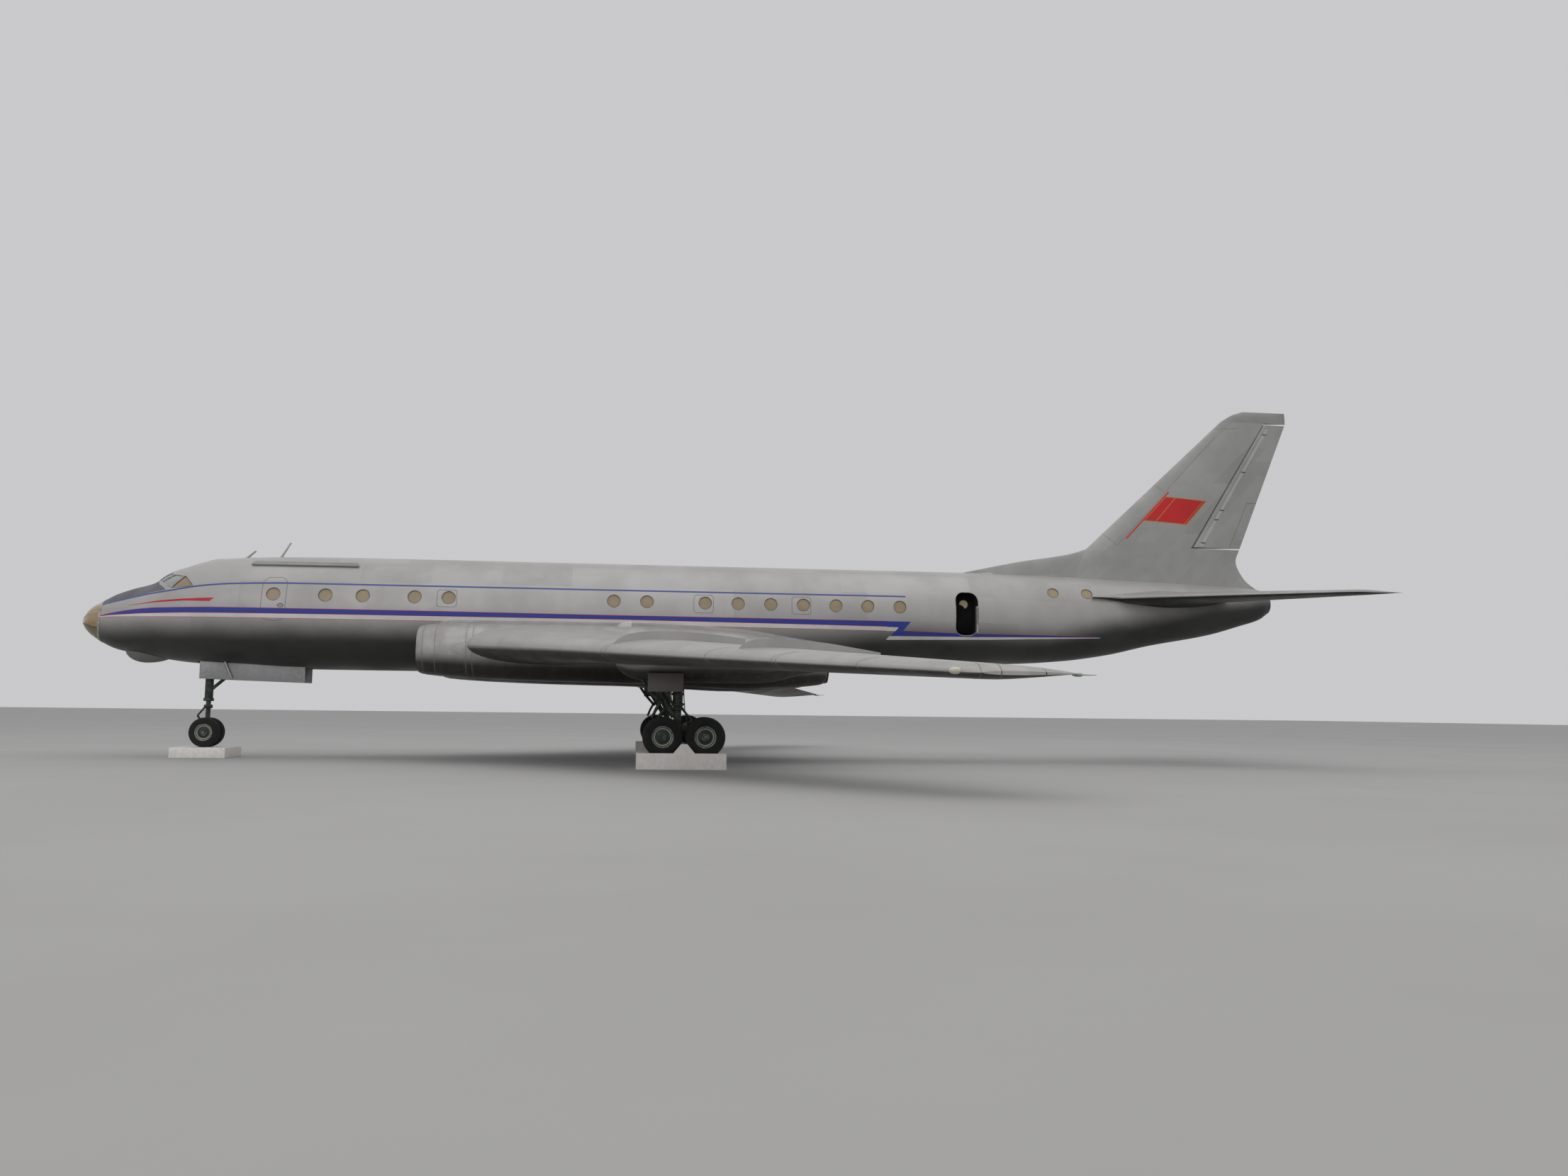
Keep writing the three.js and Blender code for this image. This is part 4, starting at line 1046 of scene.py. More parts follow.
def build_body_trim():
    for name, side in SIDES:
        rims = Shape()
        for x, z, radius, _ in WINDOWS:
            outer, inner = (outline_circle(x, z, radius + grow, side) for grow in (0.011, -0.003))
            collar_on_body(rims, outer, inner, -0.01, 0.004)
        rims.piece("window_rims_" + name, "rim", "bare_metal")
        build_stripes(name, side)
    build_glare_panel()

    fittings = Shape()
    handle_x, handle_a = 6.18, -angle_at(6.18, 4.55)
    spots = [(x - handle_x, a - handle_a) for x, a in outline_circle(handle_x, 4.55, 0.05, -1, 28)]
    sizes = ((1.9, 1.25), (1.55, 0.85))
    outer, inner = ([(handle_x + x * wide, handle_a + a * tall) for x, a in spots] for wide, tall in sizes)
    collar_on_body(fittings, outer, inner, -0.003, 0.006)
    bar = [(6.10, 4.556), (6.26, 4.556), (6.26, 4.544), (6.10, 4.544)]
    pad_on_body(fittings, [(x, -angle_at(x, z)) for x, z in bar], -0.003, 0.014, rings=1)
    fittings.piece("door_handles", "dark", "dark_metal")

    opening = Shape()
    outer, inner = (outline_rounded(*DOORWAY_CUT, -1, grow) for grow in (0.009, -0.004))
    collar_on_body(opening, outer, inner[: len(outer)], -0.02, 0.006)
    opening.box(27.446, 27.489, -1.50, -1.34, 4.12, 4.98)
    opening.piece("doorway_edge", "frame", "bare_metal", limit=40)
    turns = [math.radians(t) for t in range(-70, 186, 8)]
    disc = [(27.17 + 0.14 * math.cos(t), 5.08 + 0.14 * math.sin(t)) for t in turns]
    Shape().plate(disc + [(27.15, 5.03)], -0.895, -0.87).piece("doorway_far_window", "lit_blind", "window_cover")


def lower_marks(turns):
    """Marks the panes within 70 degrees of the keel"""
    return [int(abs((math.degrees(t) + 180) % 360 - 180) > 110) for t in turns]


def glazing_end(t):
    """Station at which the glazed nose ends, at an angle from the top"""
    return 0.685 + 0.035 * math.cos(t) - 0.05 * math.cos(2 * t)


def build_nose_glazing():
    xs = [0.0003, 0.003, 0.008, 0.015, 0.03, 0.055, 0.09, 0.13, 0.17, 0.21, 0.25, 0.3, 0.34, 0.4, 0.45, 0.4997]
    turns = full_turn(64)
    marks = lower_marks(turns)
    dome = Shape().loft([[on_body(x, t) for t in turns] for x in xs], marks * (len(xs) - 1) + [0, 0])
    dome.piece("nose_glass", "amber olive", "window_cover", replaces=["nose_glazing"], limit=60)
    rows = []
    for share, out in ((0, -0.004), (0, 0.003), (0.34, 0.003), (0.67, 0.003), (1, 0.003), (1, -0.004)):
        rows.append([on_body(0.485 + (glazing_end(t) - 0.515) * share, t, out) for t in turns])
    skirt = Shape().loft(rows, marks * len(rows), around=True)
    skirt.piece("nose_glass_rear", "amber olive", "window_cover", limit=60)

    def strip(shape, degrees, x0, x1, width):
        rows = []
        for x in stations(x0, x1, 0.04):
            half = width / 2 / max(section_at(x)[2], 0.08)
            rows.append(strip_ring(x, [math.radians(degrees) + half * v for v in (-1, 1)], 0.006, -0.004))
        shape.loft(rows)

    bars, seams = Shape(), Shape()
    rows = ((-0.06, -0.004), (-0.06, 0.008), (0, 0.008), (0, -0.004))
    bars.loft([[on_body(glazing_end(t) + dx, t, out) for t in turns] for dx, out in rows], around=True)
    for degrees, width, end in ((0, .022, .64), (66, .044, .69), (294, .044, .69), (155, .02, .59), (205, .02, .59)):
        strip(bars, degrees, 0.03, end, width)
    for degrees in (111, 249):
        strip(seams, degrees, 0.05, 0.67, 0.016)
    seams.piece("nose_glazing_seams", "groove", "dark_metal")
    bars.piece("nose_glazing_frames", "frame", "bare_metal")


def build_cockpit_trim():
    frames, rims = Shape(), Shape()
    for _, side in SIDES:
        for corners in PANES:
            line = pane_outline(corners, side)
            shape, grow = (rims, 1.04) if len(corners) == 3 else (frames, 1.07)
            collar_on_body(shape, shrink(line, grow), shrink(line, 0.97), -0.02, 0.005)
    frames.piece("cockpit_window_frames", "frame", "cockpit_glass", replaces=["cockpit_glazing"])
    rims.piece("cockpit_blind_rims", "rim", "bare_metal")


def build_radome():
    dome = Shape().egg((1.89, 0, 3.245), 0.62, 0.9, 0.42, 0.4, 44, 56)
    dome.piece("radome_dome", "radome", "lower_paint", replaces=["chin_radome"], limit=50)


def build_roof():
    rows = []
    for x, lift in ((5.12, 0.0), (5.2, 0.1), (6.2, 0.1), (7.2, 0.1), (8.2, 0.1), (8.27, 0.04)):
        low, high = -angle_at(x, 5.785), -angle_at(x, 5.785 + max(lift, 0.02))
        rows.append([on_body(x, t, out) for t, out in ((low, 0.012), (low, 0.06), (high, 0.07), (high, 0.02))])
    rail = Shape().loft(rows)
    for x in np.linspace(5.25, 8.1, 12):
        pad_on_body(rail, outline_rounded(x - 0.03, x + 0.03, 5.80, 5.90, 0.01, -1, steps=2), -0.01, 0.03, rings=1)
    rail.piece("roof_rail_bar", "rail", "dark_metal", replaces=["roof_rail"], bevel=0.006)
    for node_name, start, end in (
        ("roof_mast_front", (4.63, 0, 6.1), (4.91, 0, 6.36)),
        ("roof_mast_rear", (5.66, 0, 6.15), (5.94, 0, 6.64)),
        ("belly_mast", (4.30, -0.5, 2.95), (4.54, -0.5, 2.40)),
    ):
        a, b = Vector(start), Vector(end)
        way = (b - a).normalized()
        mast = Shape().bar(a, b, 0.036, 0.026, 20)
        mast.bar(a - way * 0.1, a + way * 0.05, 0.062, 0.042, 20)
        mast.piece(node_name + "_rod", "metal", "bare_metal", replaces=[node_name])
    blisters = Shape()
    for x0, x1, rise, wide in ((3.42, 4.17, 0.03, 0.24), (27.91, 28.62, 0.06, 0.14)):
        rings = []
        for k in range(1, 16):
            x, hump = x0 + (x1 - x0) * k / 16, math.sin(math.pi * k / 16)
            top, tall = on_body(x, 0)[2] - 0.02, rise * hump**0.7 + 0.02
            turns = full_turn(20)
            rings.append([(x, wide * hump**0.6 * math.sin(a), top + tall * max(math.cos(a), -0.6)) for a in turns])
        blisters.loft(rings)
    blisters.piece("roof_blisters", "body", "upper_paint", limit=50)


# Lifting surfaces
def half_thickness(f):
    return 5 * (0.2969 * math.sqrt(f) - 0.126 * f - 0.3516 * f**2 + 0.2843 * f**3 - 0.1015 * f**4)


def lay_flat(x, lift, t, s):
    return (x, s, lift + t)


def stand_up(x, lift, t, s):
    return (x, t, s)


def section(row, place, start=0.0, count=26, nose=()):
    """Closed ring round a surface's section, from a share of its chord to the trailing edge"""
    s, le, te, lift, thick = row
    shares = [(1 - math.cos(math.pi * k / (count - 1))) / 2 for k in range(count)]
    if start > 0:
        shares = np.linspace(start, 1, max(8, count // 2))
    pairs = [(le + f * (te - le), max(thick * half_thickness(f), 0.004)) for f in shares]
    ring = [place(x, lift, t, s) for x, t in pairs] + [place(x, lift, -t, s) for x, t in reversed(pairs)]
    return ring + [place(x, lift, t, s) for x, t in nose]


def span_positions(s0, s1, middle=None):
    """Positions along the span, with one at a change of taper"""
    first = [] if middle is None else stations(s0, middle, 0.7)[:-1]
    return first + stations(s0 if middle is None else middle, s1, 0.7)


def rounded_tip(table, place, tips, count):
    """Sections that thin towards a tip, for (position, share of the thickness) pairs"""
    rings = []
    for s, share in tips:
        row = row_at(table, s)
        row[4] *= share
        rings.append(section(row, place, count=count))
    return rings


class Hinge:
    """Hinge line of a moving surface, and what lies ahead of it"""

    def __init__(self, table, place, share, s0, s1, gap0, gap1, lugs):
        self.table, self.place, self.share = table, place, share
        self.s0, self.s1, self.gap0, self.gap1, self.lugs = s0, s1, gap0, gap1, lugs
        (x0, *_), (x1, *_) = (self.nose(s, 1) for s in (s0, s1))
        self.lean = math.hypot(1, (x1 - x0) / (s1 - s0))

    def nose(self, s, lean=None):
        """Hinge station, reach of the round nose ahead of it, half thickness there, and the table row"""
        row = row_at(self.table, s)
        half = row[4] * half_thickness(self.share)
        return row[1] + self.share * (row[2] - row[1]), half * (lean or self.lean), half, row

    def surface(self):
        """Moving surface from its round nose to its trailing edge"""
        rings = []
        for s in span_positions(self.s0, self.s1):
            hinge, reach, half, row = self.nose(s)
            turns = [math.pi * k / 14 - math.pi / 2 for k in range(13, 0, -1)]
            nose = [(hinge - reach * math.cos(t), -half * math.sin(t)) for t in turns]
            rings.append(section(row, self.place, self.share, 26, nose))
        return Shape().loft(rings)

    def space(self):
        """Room that the surface moves in"""
        ends = [self.nose(s) for s in (self.s0 - self.gap0, self.s1 + self.gap1)]
        return space_behind(self.place, [(hinge - reach - 0.014, row) for hinge, reach, _, row in ends])

    def add_lugs(self, shape):
        for middle in self.lugs:
            rings = []
            for s in (middle - 0.04, middle + 0.04):
                hinge, reach, _, row = self.nose(s)
                tip, half = hinge - reach - 0.006, row[4] * 0.08
                corners = [(tip - 0.12, half), (tip, half), (tip, -half), (tip - 0.12, -half)]
                rings.append([self.place(x, row[3], t, s) for x, t in corners])
            shape.loft(rings)


def space_behind(place, ends):
    """Block from a front station to behind the trailing edge, for (front, table row) at each end"""
    rings = []
    for front, (s, _, te, lift, _) in ends:
        corners = [(front, 0.5), (te + 0.4, 0.5), (te + 0.4, -0.5), (front, -0.5)]
        rings.append([place(x, lift, t, s) for x, t in corners])
    return Shape().loft(rings)


RUDDER = Hinge(FIN, stand_up, 0.7, 7.262, 11.6, 0.046, 0.06, (7.9, 9.4, 10.9))
ELEVATOR = Hinge(TAILPLANE, lay_flat, 0.7, 0.96, 5.9, 0.038, 0.045, (1.5, 3.4, 5.3))
AILERON = Hinge(WING, lay_flat, 0.75, 11.66, 16.6, 0.03, 0.04, (12.4, 14.1, 15.8))


def hinged_surface(rings, hinge, name, side, finish, fixed, moving, spaces=()):
    """Wing or tailplane half with its moving surface, made to starboard and turned over for port"""
    item = Shape().loft(rings).object(f"{fixed}_skin_{name}")
    carve(item, *[space.object("space") for space in (hinge.space(), *spaces)])
    lugs = Shape()
    hinge.add_lugs(lugs)
    join_into(item, lugs.object("lugs"))
    if side < 0:
        item.data.transform(Matrix.Diagonal((1, -1, 1, 1)))
        item.data.flip_normals()
    dress(item, finish, "lower_paint", replaces=[f"{fixed}_{name}"], limit=30)
    node_name = f"{moving}_{name}"
    hinge.surface().piece(f"{moving}_skin_{name}", finish, "lower_paint", side, body=node_name, replaces=[node_name],
                          limit=30)


def skin_height(s, x):
    _, le, te, lift, thick = row_at(WING, s)
    return lift + thick * half_thickness(min(max((x - le) / (te - le), 0), 1))


def chord_seam(shape, s):
    """Thin strip from the lower skin round the wing's leading edge to the upper one"""
    shares = [0.16 * (k / 20) ** 1.6 for k in range(21)]
    rings = []
    for f, way in [(f, 1) for f in reversed(shares)] + [(f, -1) for f in shares[1:]]:
        ring = []
        for ds, lift in slab(0.007, 0.0015):
            row = row_at(WING, s + ds)
            half = max(row[4] * half_thickness(f), 0.004) + lift
            ring.append((row[1] + f * (row[2] - row[1]) - (lift if f < 0.004 else 0), s + ds, row[3] + way * half))
        rings.append(ring)
    shape.loft(rings)


def tip_seam(shape, x):
    """Thin strip round the wing tip at a station"""
    path = []
    for s, share in [(16.5, 1), (16.8, 1), (17.0, 1)] + WING_TIP:
        row = row_at(WING, s)
        f = min(max((x - row[1]) / (row[2] - row[1]), 0.002), 1)
        path.append((s, row[3], row[4] * share * half_thickness(f)))
    line = [(s, z + t) for s, z, t in path] + [(s, z - t) for s, z, t in reversed(path)]
    rows = []
    for i, (s, z) in enumerate(line):
        (s0, z0), (s1, z1) = line[max(i - 1, 0)], line[min(i + 1, len(line) - 1)]
        size = math.hypot(s1 - s0, z1 - z0) or 1
        oy, oz = -(z1 - z0) / size, (s1 - s0) / size
        rows.append([(x + dx, min(s + oy * out, WING_TIP[-1][0]), z + oz * out) for dx, out in slab(0.008, 0.002)])
    shape.loft(rows)


def build_wing(name, side):
    rings = [section(row_at(WING, s), lay_flat, count=34) for s in span_positions(WING[0][0], 17.0, 6.0)]
    spaces = []
    for _, s0, s1 in FLAPS:
        rows = [row_at(WING, s) for s in (s0 - 0.004, s1 + 0.004)]
        spaces.append(space_behind(lay_flat, [(r[1] + FLAP_HINGE * (r[2] - r[1]) - 0.004, r) for r in rows]))
    hinged_surface(rings + rounded_tip(WING, lay_flat, WING_TIP, 34), AILERON, name, side, "wing", "wing", "aileron",
                   spaces)
    fences = Shape()
    for s, top in FENCES:
        rise = curve_through(top)
        xs = stations(top[0][0], top[-1][0], 0.12)
        edge = [(x, skin_height(s, x) + float(rise(x)[0][0])) for x in xs]
        base = [(x, skin_height(s, x) - 0.05) for x in xs]
        foot = [(x, skin_height(s, x) + 0.035) for x in xs[1:]]
        fences.plate(base + edge[::-1], s - 0.011, s + 0.011)
        fences.plate(base[1:] + foot[::-1], s - 0.016, s + 0.016)
    fences.piece("wing_fences_" + name, "fence", "lower_paint", side)

    seams = Shape()
    for s in (8.03, 8.17, 11.22, 12.99, 13.09, 14.98):
        chord_seam(seams, s)
    for x in (23.12, 23.5, 24.37):
        tip_seam(seams, x)
    seams.piece("wing_joint_strips_" + name, "seam", "dark_metal", side)

    lamp = Shape().egg((22.685, 16.99, 2.387), 0.13, 0.13, 0.09, 0.07, 14, 24)
    lamp.piece("wing_tip_lamp_" + name, "lens", "window_cover", side)
    sizes = ((-0.16, 0.02), (-0.1, 0.045), (0.0, 0.05), (0.04, 0.03))
    glass = Shape().loft([oval(25.09 + dx, 17.1, 2.335, r, r * 0.8, 20) for dx, r in sizes])
    glass.bar((25.11, 17.1, 2.335), (25.41, 17.1, 2.335), 0.015, 0.007, 12)
    glass.piece("wing_tip_rear_lamp_" + name, "tip_glass", "tip_paint", side)

    for flap, s0, s1 in FLAPS:
        rings = []
        for s in span_positions(s0, s1):
            row = row_at(WING, s)
            x = row[1] + (FLAP_HINGE + 0.0015) * (row[2] - row[1])
            half = row[4] * half_thickness(FLAP_HINGE)
            row[1] += 0.003
            nose = [(x, -half * 0.8), (x - 0.003, 0), (x, half * 0.8)]
            rings.append(section(row, lay_flat, FLAP_HINGE + 0.003, 26, nose))
        Shape().loft(rings).piece(f"{flap}_skin_{name}", "wing", "lower_paint", side, replaces=[f"{flap}_{name}"],
                                  limit=30)


def join_into(item, other):
    """Adds another object's mesh to an item's"""
    edit = bmesh.new()
    edit.from_mesh(item.data)
    edit.from_mesh(other.data)
    edit.to_mesh(item.data)
    edit.free()
    bpy.data.objects.remove(other)


def build_tailplane(name, side):
    rings = [section(row_at(TAILPLANE, s), lay_flat, count=28) for s in span_positions(0.45, 6.15)]
    rings += rounded_tip(TAILPLANE, lay_flat, ((6.22, 0.95), (6.28, 0.8), (6.3, 0.5)), 28)
    hinged_surface(rings, ELEVATOR, name, side, "tailplane", "tailplane", "elevator")
    # Root fairing: station, half height, width
    table = curve_through([[31.4, .01, 0], [31.7, .035, .03], [32.1, .085, .08], [32.6, .155, .12], [33.2, .23, .15],
                           [34.0, .28, .17], [35.0, .24, .14], [35.7, .14, .09], [36.1, .03, .02]])
    rings = []
    for x in stations(31.4, 36.08, 0.09):
        tall, out = table(x)[0]
        rings.append(oval(x, section_at(x)[2] - 0.06, 5.385, out + 0.06, tall, 28))
    Shape().loft(rings).piece("tailplane_root_fairing_" + name, "tailplane", "upper_paint", side, limit=50)


def build_fin():
    curve = curve_through(FIN)
    rings = []
    for s in stations(5.7, 7.25, 0.1) + span_positions(7.25, 11.65)[1:]:
        row = [s, *[float(v) for v in curve(s)[0]]] if s < 7.25 else row_at(FIN, s)
        rings.append(section(row, stand_up, count=34))
    fin = Shape().loft(rings).object("fin_skin")
    carve(fin, RUDDER.space().object("space"))
    table = curve_through(DORSAL)
    rings = []
    for x in stations(27.44, 32.55, 0.12):
        top, half = table(x)[0]
        drop = min(on_body(x, 0)[2], top - 0.02) - 0.12 - top
        shares = [k / 12 for k in range(13)]
        ring = [(half * 1.45 * t**0.75 + 0.012 * (1 - t), top + drop * t**1.4) for t in shares]
        rings.append([(x, y, z) for y, z in ring] + [(x, -y, z) for y, z in reversed(ring)])
    ridge = Shape().loft(rings)
    RUDDER.add_lugs(ridge)
    join_into(fin, ridge.object("ridge"))
    dress(fin, "tail", "upper_paint", replaces=["fin"], limit=40)
    RUDDER.surface().piece("rudder_skin", "tail", "upper_paint", body="rudder", replaces=["rudder"], limit=30)
    tips = ((11.652, 1), (11.75, 1), (11.85, 1), (11.92, 0.95), (11.98, 0.85), (12.02, 0.7), (12.04, 0.4))
    cap = Shape().loft(rounded_tip(FIN_CAP, stand_up, tips, 34))
    cap.piece("fin_cap", "tip", "tip_paint", replaces=["fin_tip_cap"], limit=40)
    build_fin_marks()


def fin_patch(shape, corners, side, out=0.002, cuts=10):
    """Thin panel on the fin or rudder between four corners given as station and height"""
    a, b, c, d = (np.array(p, float) for p in corners)
    rings = []
    for v in (j / cuts for j in range(cuts + 1)):
        line = []
        for u in (i / cuts for i in range(cuts + 1)):
            x, z = (a * (1 - u) + b * u) * (1 - v) + (d * (1 - u) + c * u) * v
            _, le, te, _, thick = row_at(FIN, z)
            line.append((x, z, max(thick * half_thickness(min(max((x - le) / (te - le), 0), 1)), 0.004)))
        face = [(x, side * (t + out), z) for x, z, t in line]
        rings.append(face + [(x, side * (t + SINK), z) for x, z, t in reversed(line)])
    shape.loft(rings)


def fin_line(shape, line, side, out, cuts):
    """Thin line on the fin, given as its start, its end and its width"""
    (x0, z0), (x1, z1), width = line
    share = width / 2 / math.hypot(x1 - x0, z1 - z0)
    ox, oz = (z0 - z1) * share, (x1 - x0) * share
    fin_patch(shape, [(x0 + ox, z0 + oz), (x1 + ox, z1 + oz), (x1 - ox, z1 - oz), (x0 - ox, z0 - oz)], side, out, cuts)


FLAG = [(34.385, 8.955), (35.84, 8.85), (35.105, 8.018), (33.6, 8.118)]
FLAG_LINES = [
    (FLAG[0], FLAG[1], 0.02), (FLAG[1], FLAG[2], 0.025), (FLAG[2], FLAG[3], 0.02), ((34.74, 8.93), (34, 8.08), 0.02),
    ((35.75, 8.86), (35.02, 8.025), 0.015), ((34.4, 8.95), (33.62, 8.115), 0.015),
]
FIN_SEAMS = [
    ((32.64, 7.24), (36.24, 11.10), 0.012), ((32.20, 7.64), (32.64, 7.24), 0.012),
    ((34.06, 9.35), (34.34, 9.15), 0.012), ((36.24, 11.39), (37.09, 11.42), 0.012),
]
BRACKETS = [(35.64, 7.42), (36.14, 8.23), (36.34, 8.56), (37.16, 9.91), (37.97, 11.25)]
# Panels on the fin and rudder: name, finish, slot, body, corners, height off the skin, cuts
FIN_PANELS = [
    ("flag_pole_", "pole", "upper_paint", "root", [[(34.48, 9.14), (34.53, 9.11), (32.98, 7.46), (32.94, 7.50)]],
     0.0032, 14),
    ("rudder_brackets_", "dark", "dark_metal", "rudder",
     [[(x, z + 0.02), (x + 0.16, z + 0.02), (x + 0.16, z - 0.02), (x, z - 0.02)] for x, z in BRACKETS], 0.005, 3),
    # Lighter band along the rudder's round nose: a painted highlight
    ("rudder_nose_painted_highlight_", "band", "upper_paint", "rudder",
     [[(35.575, 7.31), (35.70, 7.31), (38.20, 11.45), (38.115, 11.45)]], 0.002, 24),
    ("flag_field_", "flag", "upper_paint", "root", [FLAG], 0.002, 10),
    ("rudder_tab_line_", "seam", "dark_metal", "rudder",
     [[(37.37, 8.85), (37.72, 8.86), (37.715, 8.84), (37.365, 8.83)],
      [(37.365, 8.85), (37.385, 8.85), (36.71, 7.30), (36.69, 7.30)]], 0.0015, 8),
]


def build_fin_marks():
    for name, side in SIDES:
        for piece, finish, slot, body, panels, out, cuts in FIN_PANELS:
            shape = Shape()
            for corners in panels:
                fin_patch(shape, corners, side, out, cuts)
            shape.piece(piece + name, finish, slot, body=body)
        gold, seams = Shape(), Shape()
        for line in FLAG_LINES:
            fin_line(gold, line, side, 0.0032, 14)
        for line in FIN_SEAMS:
            fin_line(seams, line, side, 0.0015, 16)
        gold.piece("flag_edge_" + name, "gold", "upper_paint")
        seams.piece("fin_seams_" + name, "seam", "dark_metal")


# Nacelles
nacelle_curve = curve_through(NACELLE)


def squared(wave):
    """Sine or cosine pushed outwards, for a round that nears a box"""
    return math.copysign(abs(wave) ** 0.8, wave)


def nacelle_ring(x, inset=0.0, hold=None, count=72):
    """Section of the nacelle with its inner side carried into the body by fillets"""
    top, bottom, _, outer = nacelle_curve(hold or x)[0]
    top, bottom, outer = top - inset, bottom + inset, outer - inset
    middle_y, middle_z, wide, tall = 2.38, (top + bottom) / 2, outer - 2.38, (top - bottom) / 2
    shelf = [(1.30, .42), (1.52, .34), (1.68, .2), (1.80, .08), (1.95, .015), (2.12, 0)]
    under = [(2.1, 0), (1.85, .015), (1.55, .1), (1.25, .3), (0.95, .62), (0.75, .9)]
    outside = []
    for k in range(31):
        t = math.pi * k / 30
        outside.append((middle_y + wide * squared(math.sin(t)), middle_z + tall * squared(math.cos(t))))
    line = np.array([(y, top + rise) for y, rise in shelf] + outside + [(y, bottom + rise) for y, rise in under])
    steps = np.concatenate([[0], np.cumsum(np.hypot(*np.diff(line, axis=0).T))])
    smooth = curve_through(np.column_stack([steps, line]))
    return [tuple(p) for p in smooth(np.linspace(0, steps[-1], count))]


def leaning(x, ring):
    """Ring at a station, whose lip runs further aft where it nears the body"""
    near = min(max((11.6 - x) / 1.2, 0), 1)
    return [(x + 0.32 * min(max((2.2 - y) / 0.5, 0), 1) ** 1.5 * near, y, z) for y, z in ring]


def walled(shape, name, side, thickness, offset):
    """Open skin given a thickness"""
    item = shape.object(name, side)
    wall = item.modifiers.new("wall", "SOLIDIFY")
    wall.thickness, wall.offset = thickness, offset
    bake_modifiers(item)
    return item


def build_nacelle(name, side):
    lip = ((0.135, 10.9), (0.115, 10.62), (0.095, 10.49), (0.06, 10.415), (0.03, 10.402))
    rings = [leaning(x, nacelle_ring(x, inset, hold=10.47)) for inset, x in lip]
    rings += [leaning(x, nacelle_ring(x)) for x in [10.425] + stations(10.5, 12, 0.1) + stations(12.2, 22.2, 0.25)]
    end = ((0.01, 22.28), (0.03, 22.35), (0.07, 22.378), (0.12, 22.38))
    rings += [leaning(x, nacelle_ring(x, inset)) for inset, x in end]
    item = walled(Shape().loft(rings, ends=False), "nacelle_skin_" + name, side, 0.006, -1)
    dress(item, "nacelle", "lower_paint", replaces=["nacelle_" + name], limit=40)

    # Lining that turns from the shape of the lip to the round duct
    lining = []
    for x, share in ((10.7, 0), (11.2, 0.1), (11.8, 0.35), (12.5, 0.75), (13.2, 1.0), (14.1, 1.0), (14.9, 1.0)):
        _, radius, height = row_at(DUCT, x)
        ring = []
        for t in full_turn(72):
            across, up = math.sin(t), math.cos(t)
            y = (2.56 + 0.69 * squared(across)) * (1 - share) + (DUCT_Y + radius * across) * share
            ring.append((x, y, (3.28 + 0.59 * squared(up)) * (1 - share) + (height + radius * up) * share))
        lining.append(ring)
    duct = Shape().loft(lining, ends=False)
    sections = (row_at(DUCT, x) for x in (19.2, 20.6, 21.6, 22.46))
    duct.loft([oval(x, DUCT_Y, height, radius, radius, 72) for x, radius, height in sections], ends=False)
    dress(walled(duct, "air_duct_" + name, side, 0.02, 1), "duct", "dark_metal", limit=50)

    seams = Shape()
    for x in (10.58, 10.94, 11.82, 12.0):
        rows = [(dx, leaning(x, nacelle_ring(x + dx, -out))) for dx, out in slab(0.007, 0.0018, -0.004)]
        seams.loft([[(aft + dx, y, z) for aft, y, z in ring] for dx, ring in rows], around=True)
    seams.piece("nacelle_seams_" + name, "seam", "dark_metal", side)
    rows, turns = [], np.linspace(-math.pi / 2, math.pi / 2, 17)
    for x, z, half in (
        (16.1, 4.02, 0.02), (16.16, 4.09, 0.06), (16.26, 4.15, 0.085), (16.38, 4.19, 0.1), (16.54, 4.21, 0.105)
    ):
        rows.append([(x, 2.86 + half * math.sin(t), 3.8 + (z - 3.8) * max(math.cos(t), 0) ** 0.45) for t in turns])
    Shape().loft(rows).piece("nacelle_scoop_" + name, "bright", "bare_metal", side, limit=45)

    edge = nacelle_ring(EXHAUST_X, 0.1)
    turns = [math.atan2(y - DUCT_Y, z - 2.92) for y, z in edge]
    inner = [(DUCT_Y + 0.46 * math.sin(t), 2.92 + 0.46 * math.cos(t)) for t in turns]
    rows = ((EXHAUST_X, edge), (EXHAUST_X - 0.01, inner), (EXHAUST_X - 0.04, inner), (EXHAUST_X - 0.04, edge))
    nozzle = Shape().loft([[(x, y, z) for y, z in line] for x, line in rows], around=True)
    ring = [(0.47, -0.25), (0.485, 0), (0.475, 0.07), (0.455, 0.07), (0.445, 0), (0.445, -0.25), (0.47, -0.25)]
    nozzle.turned(ring, (EXHAUST_X, DUCT_Y, 2.918), "X", 64)
    nozzle.piece("exhaust_nozzle_" + name, "heat", "dark_metal", side, limit=40)

    core = [(0, -.62), (.05, -.6), (.12, -.5), (.18, -.3), (.22, 0), (.22, .2), (.66, .2), (.66, 4.4), (.4, 4.6),
            (.3, 5.3), (.12, 6.2), (0, 6.35)]
    engine = Shape().turned(core, (14.5, DUCT_Y, ENGINE_Z), "X", 48)
    engine.piece("engine_core_" + name, "dark", "dark_metal", side, replaces=["engine_" + name])
    rows = []
    for share in (k / 5 for k in range(6)):
        reach, twist, chord = 0.2 + 0.44 * share, math.radians(28 + 30 * share), 0.11 - 0.02 * share
        c, s = chord * math.cos(twist), chord * math.sin(twist)
        outline = ((-0.5, 0), (-0.15, 0.09), (0.25, 0.06), (0.5, 0), (0.25, 0), (-0.15, -0.02))
        rows.append([(c * u - s * v, s * u + c * v, reach) for u, v in outline])
    blades = Shape().loft(rows).object("compressor_blades_" + name)
    repeat(blades, "blade_ring", Count=29, Centre=(14.55, side * DUCT_Y, ENGINE_Z), Wobble=0.01, Seed=11,
           Material=M["metal"])
    dress(blades, "metal", "bare_metal")

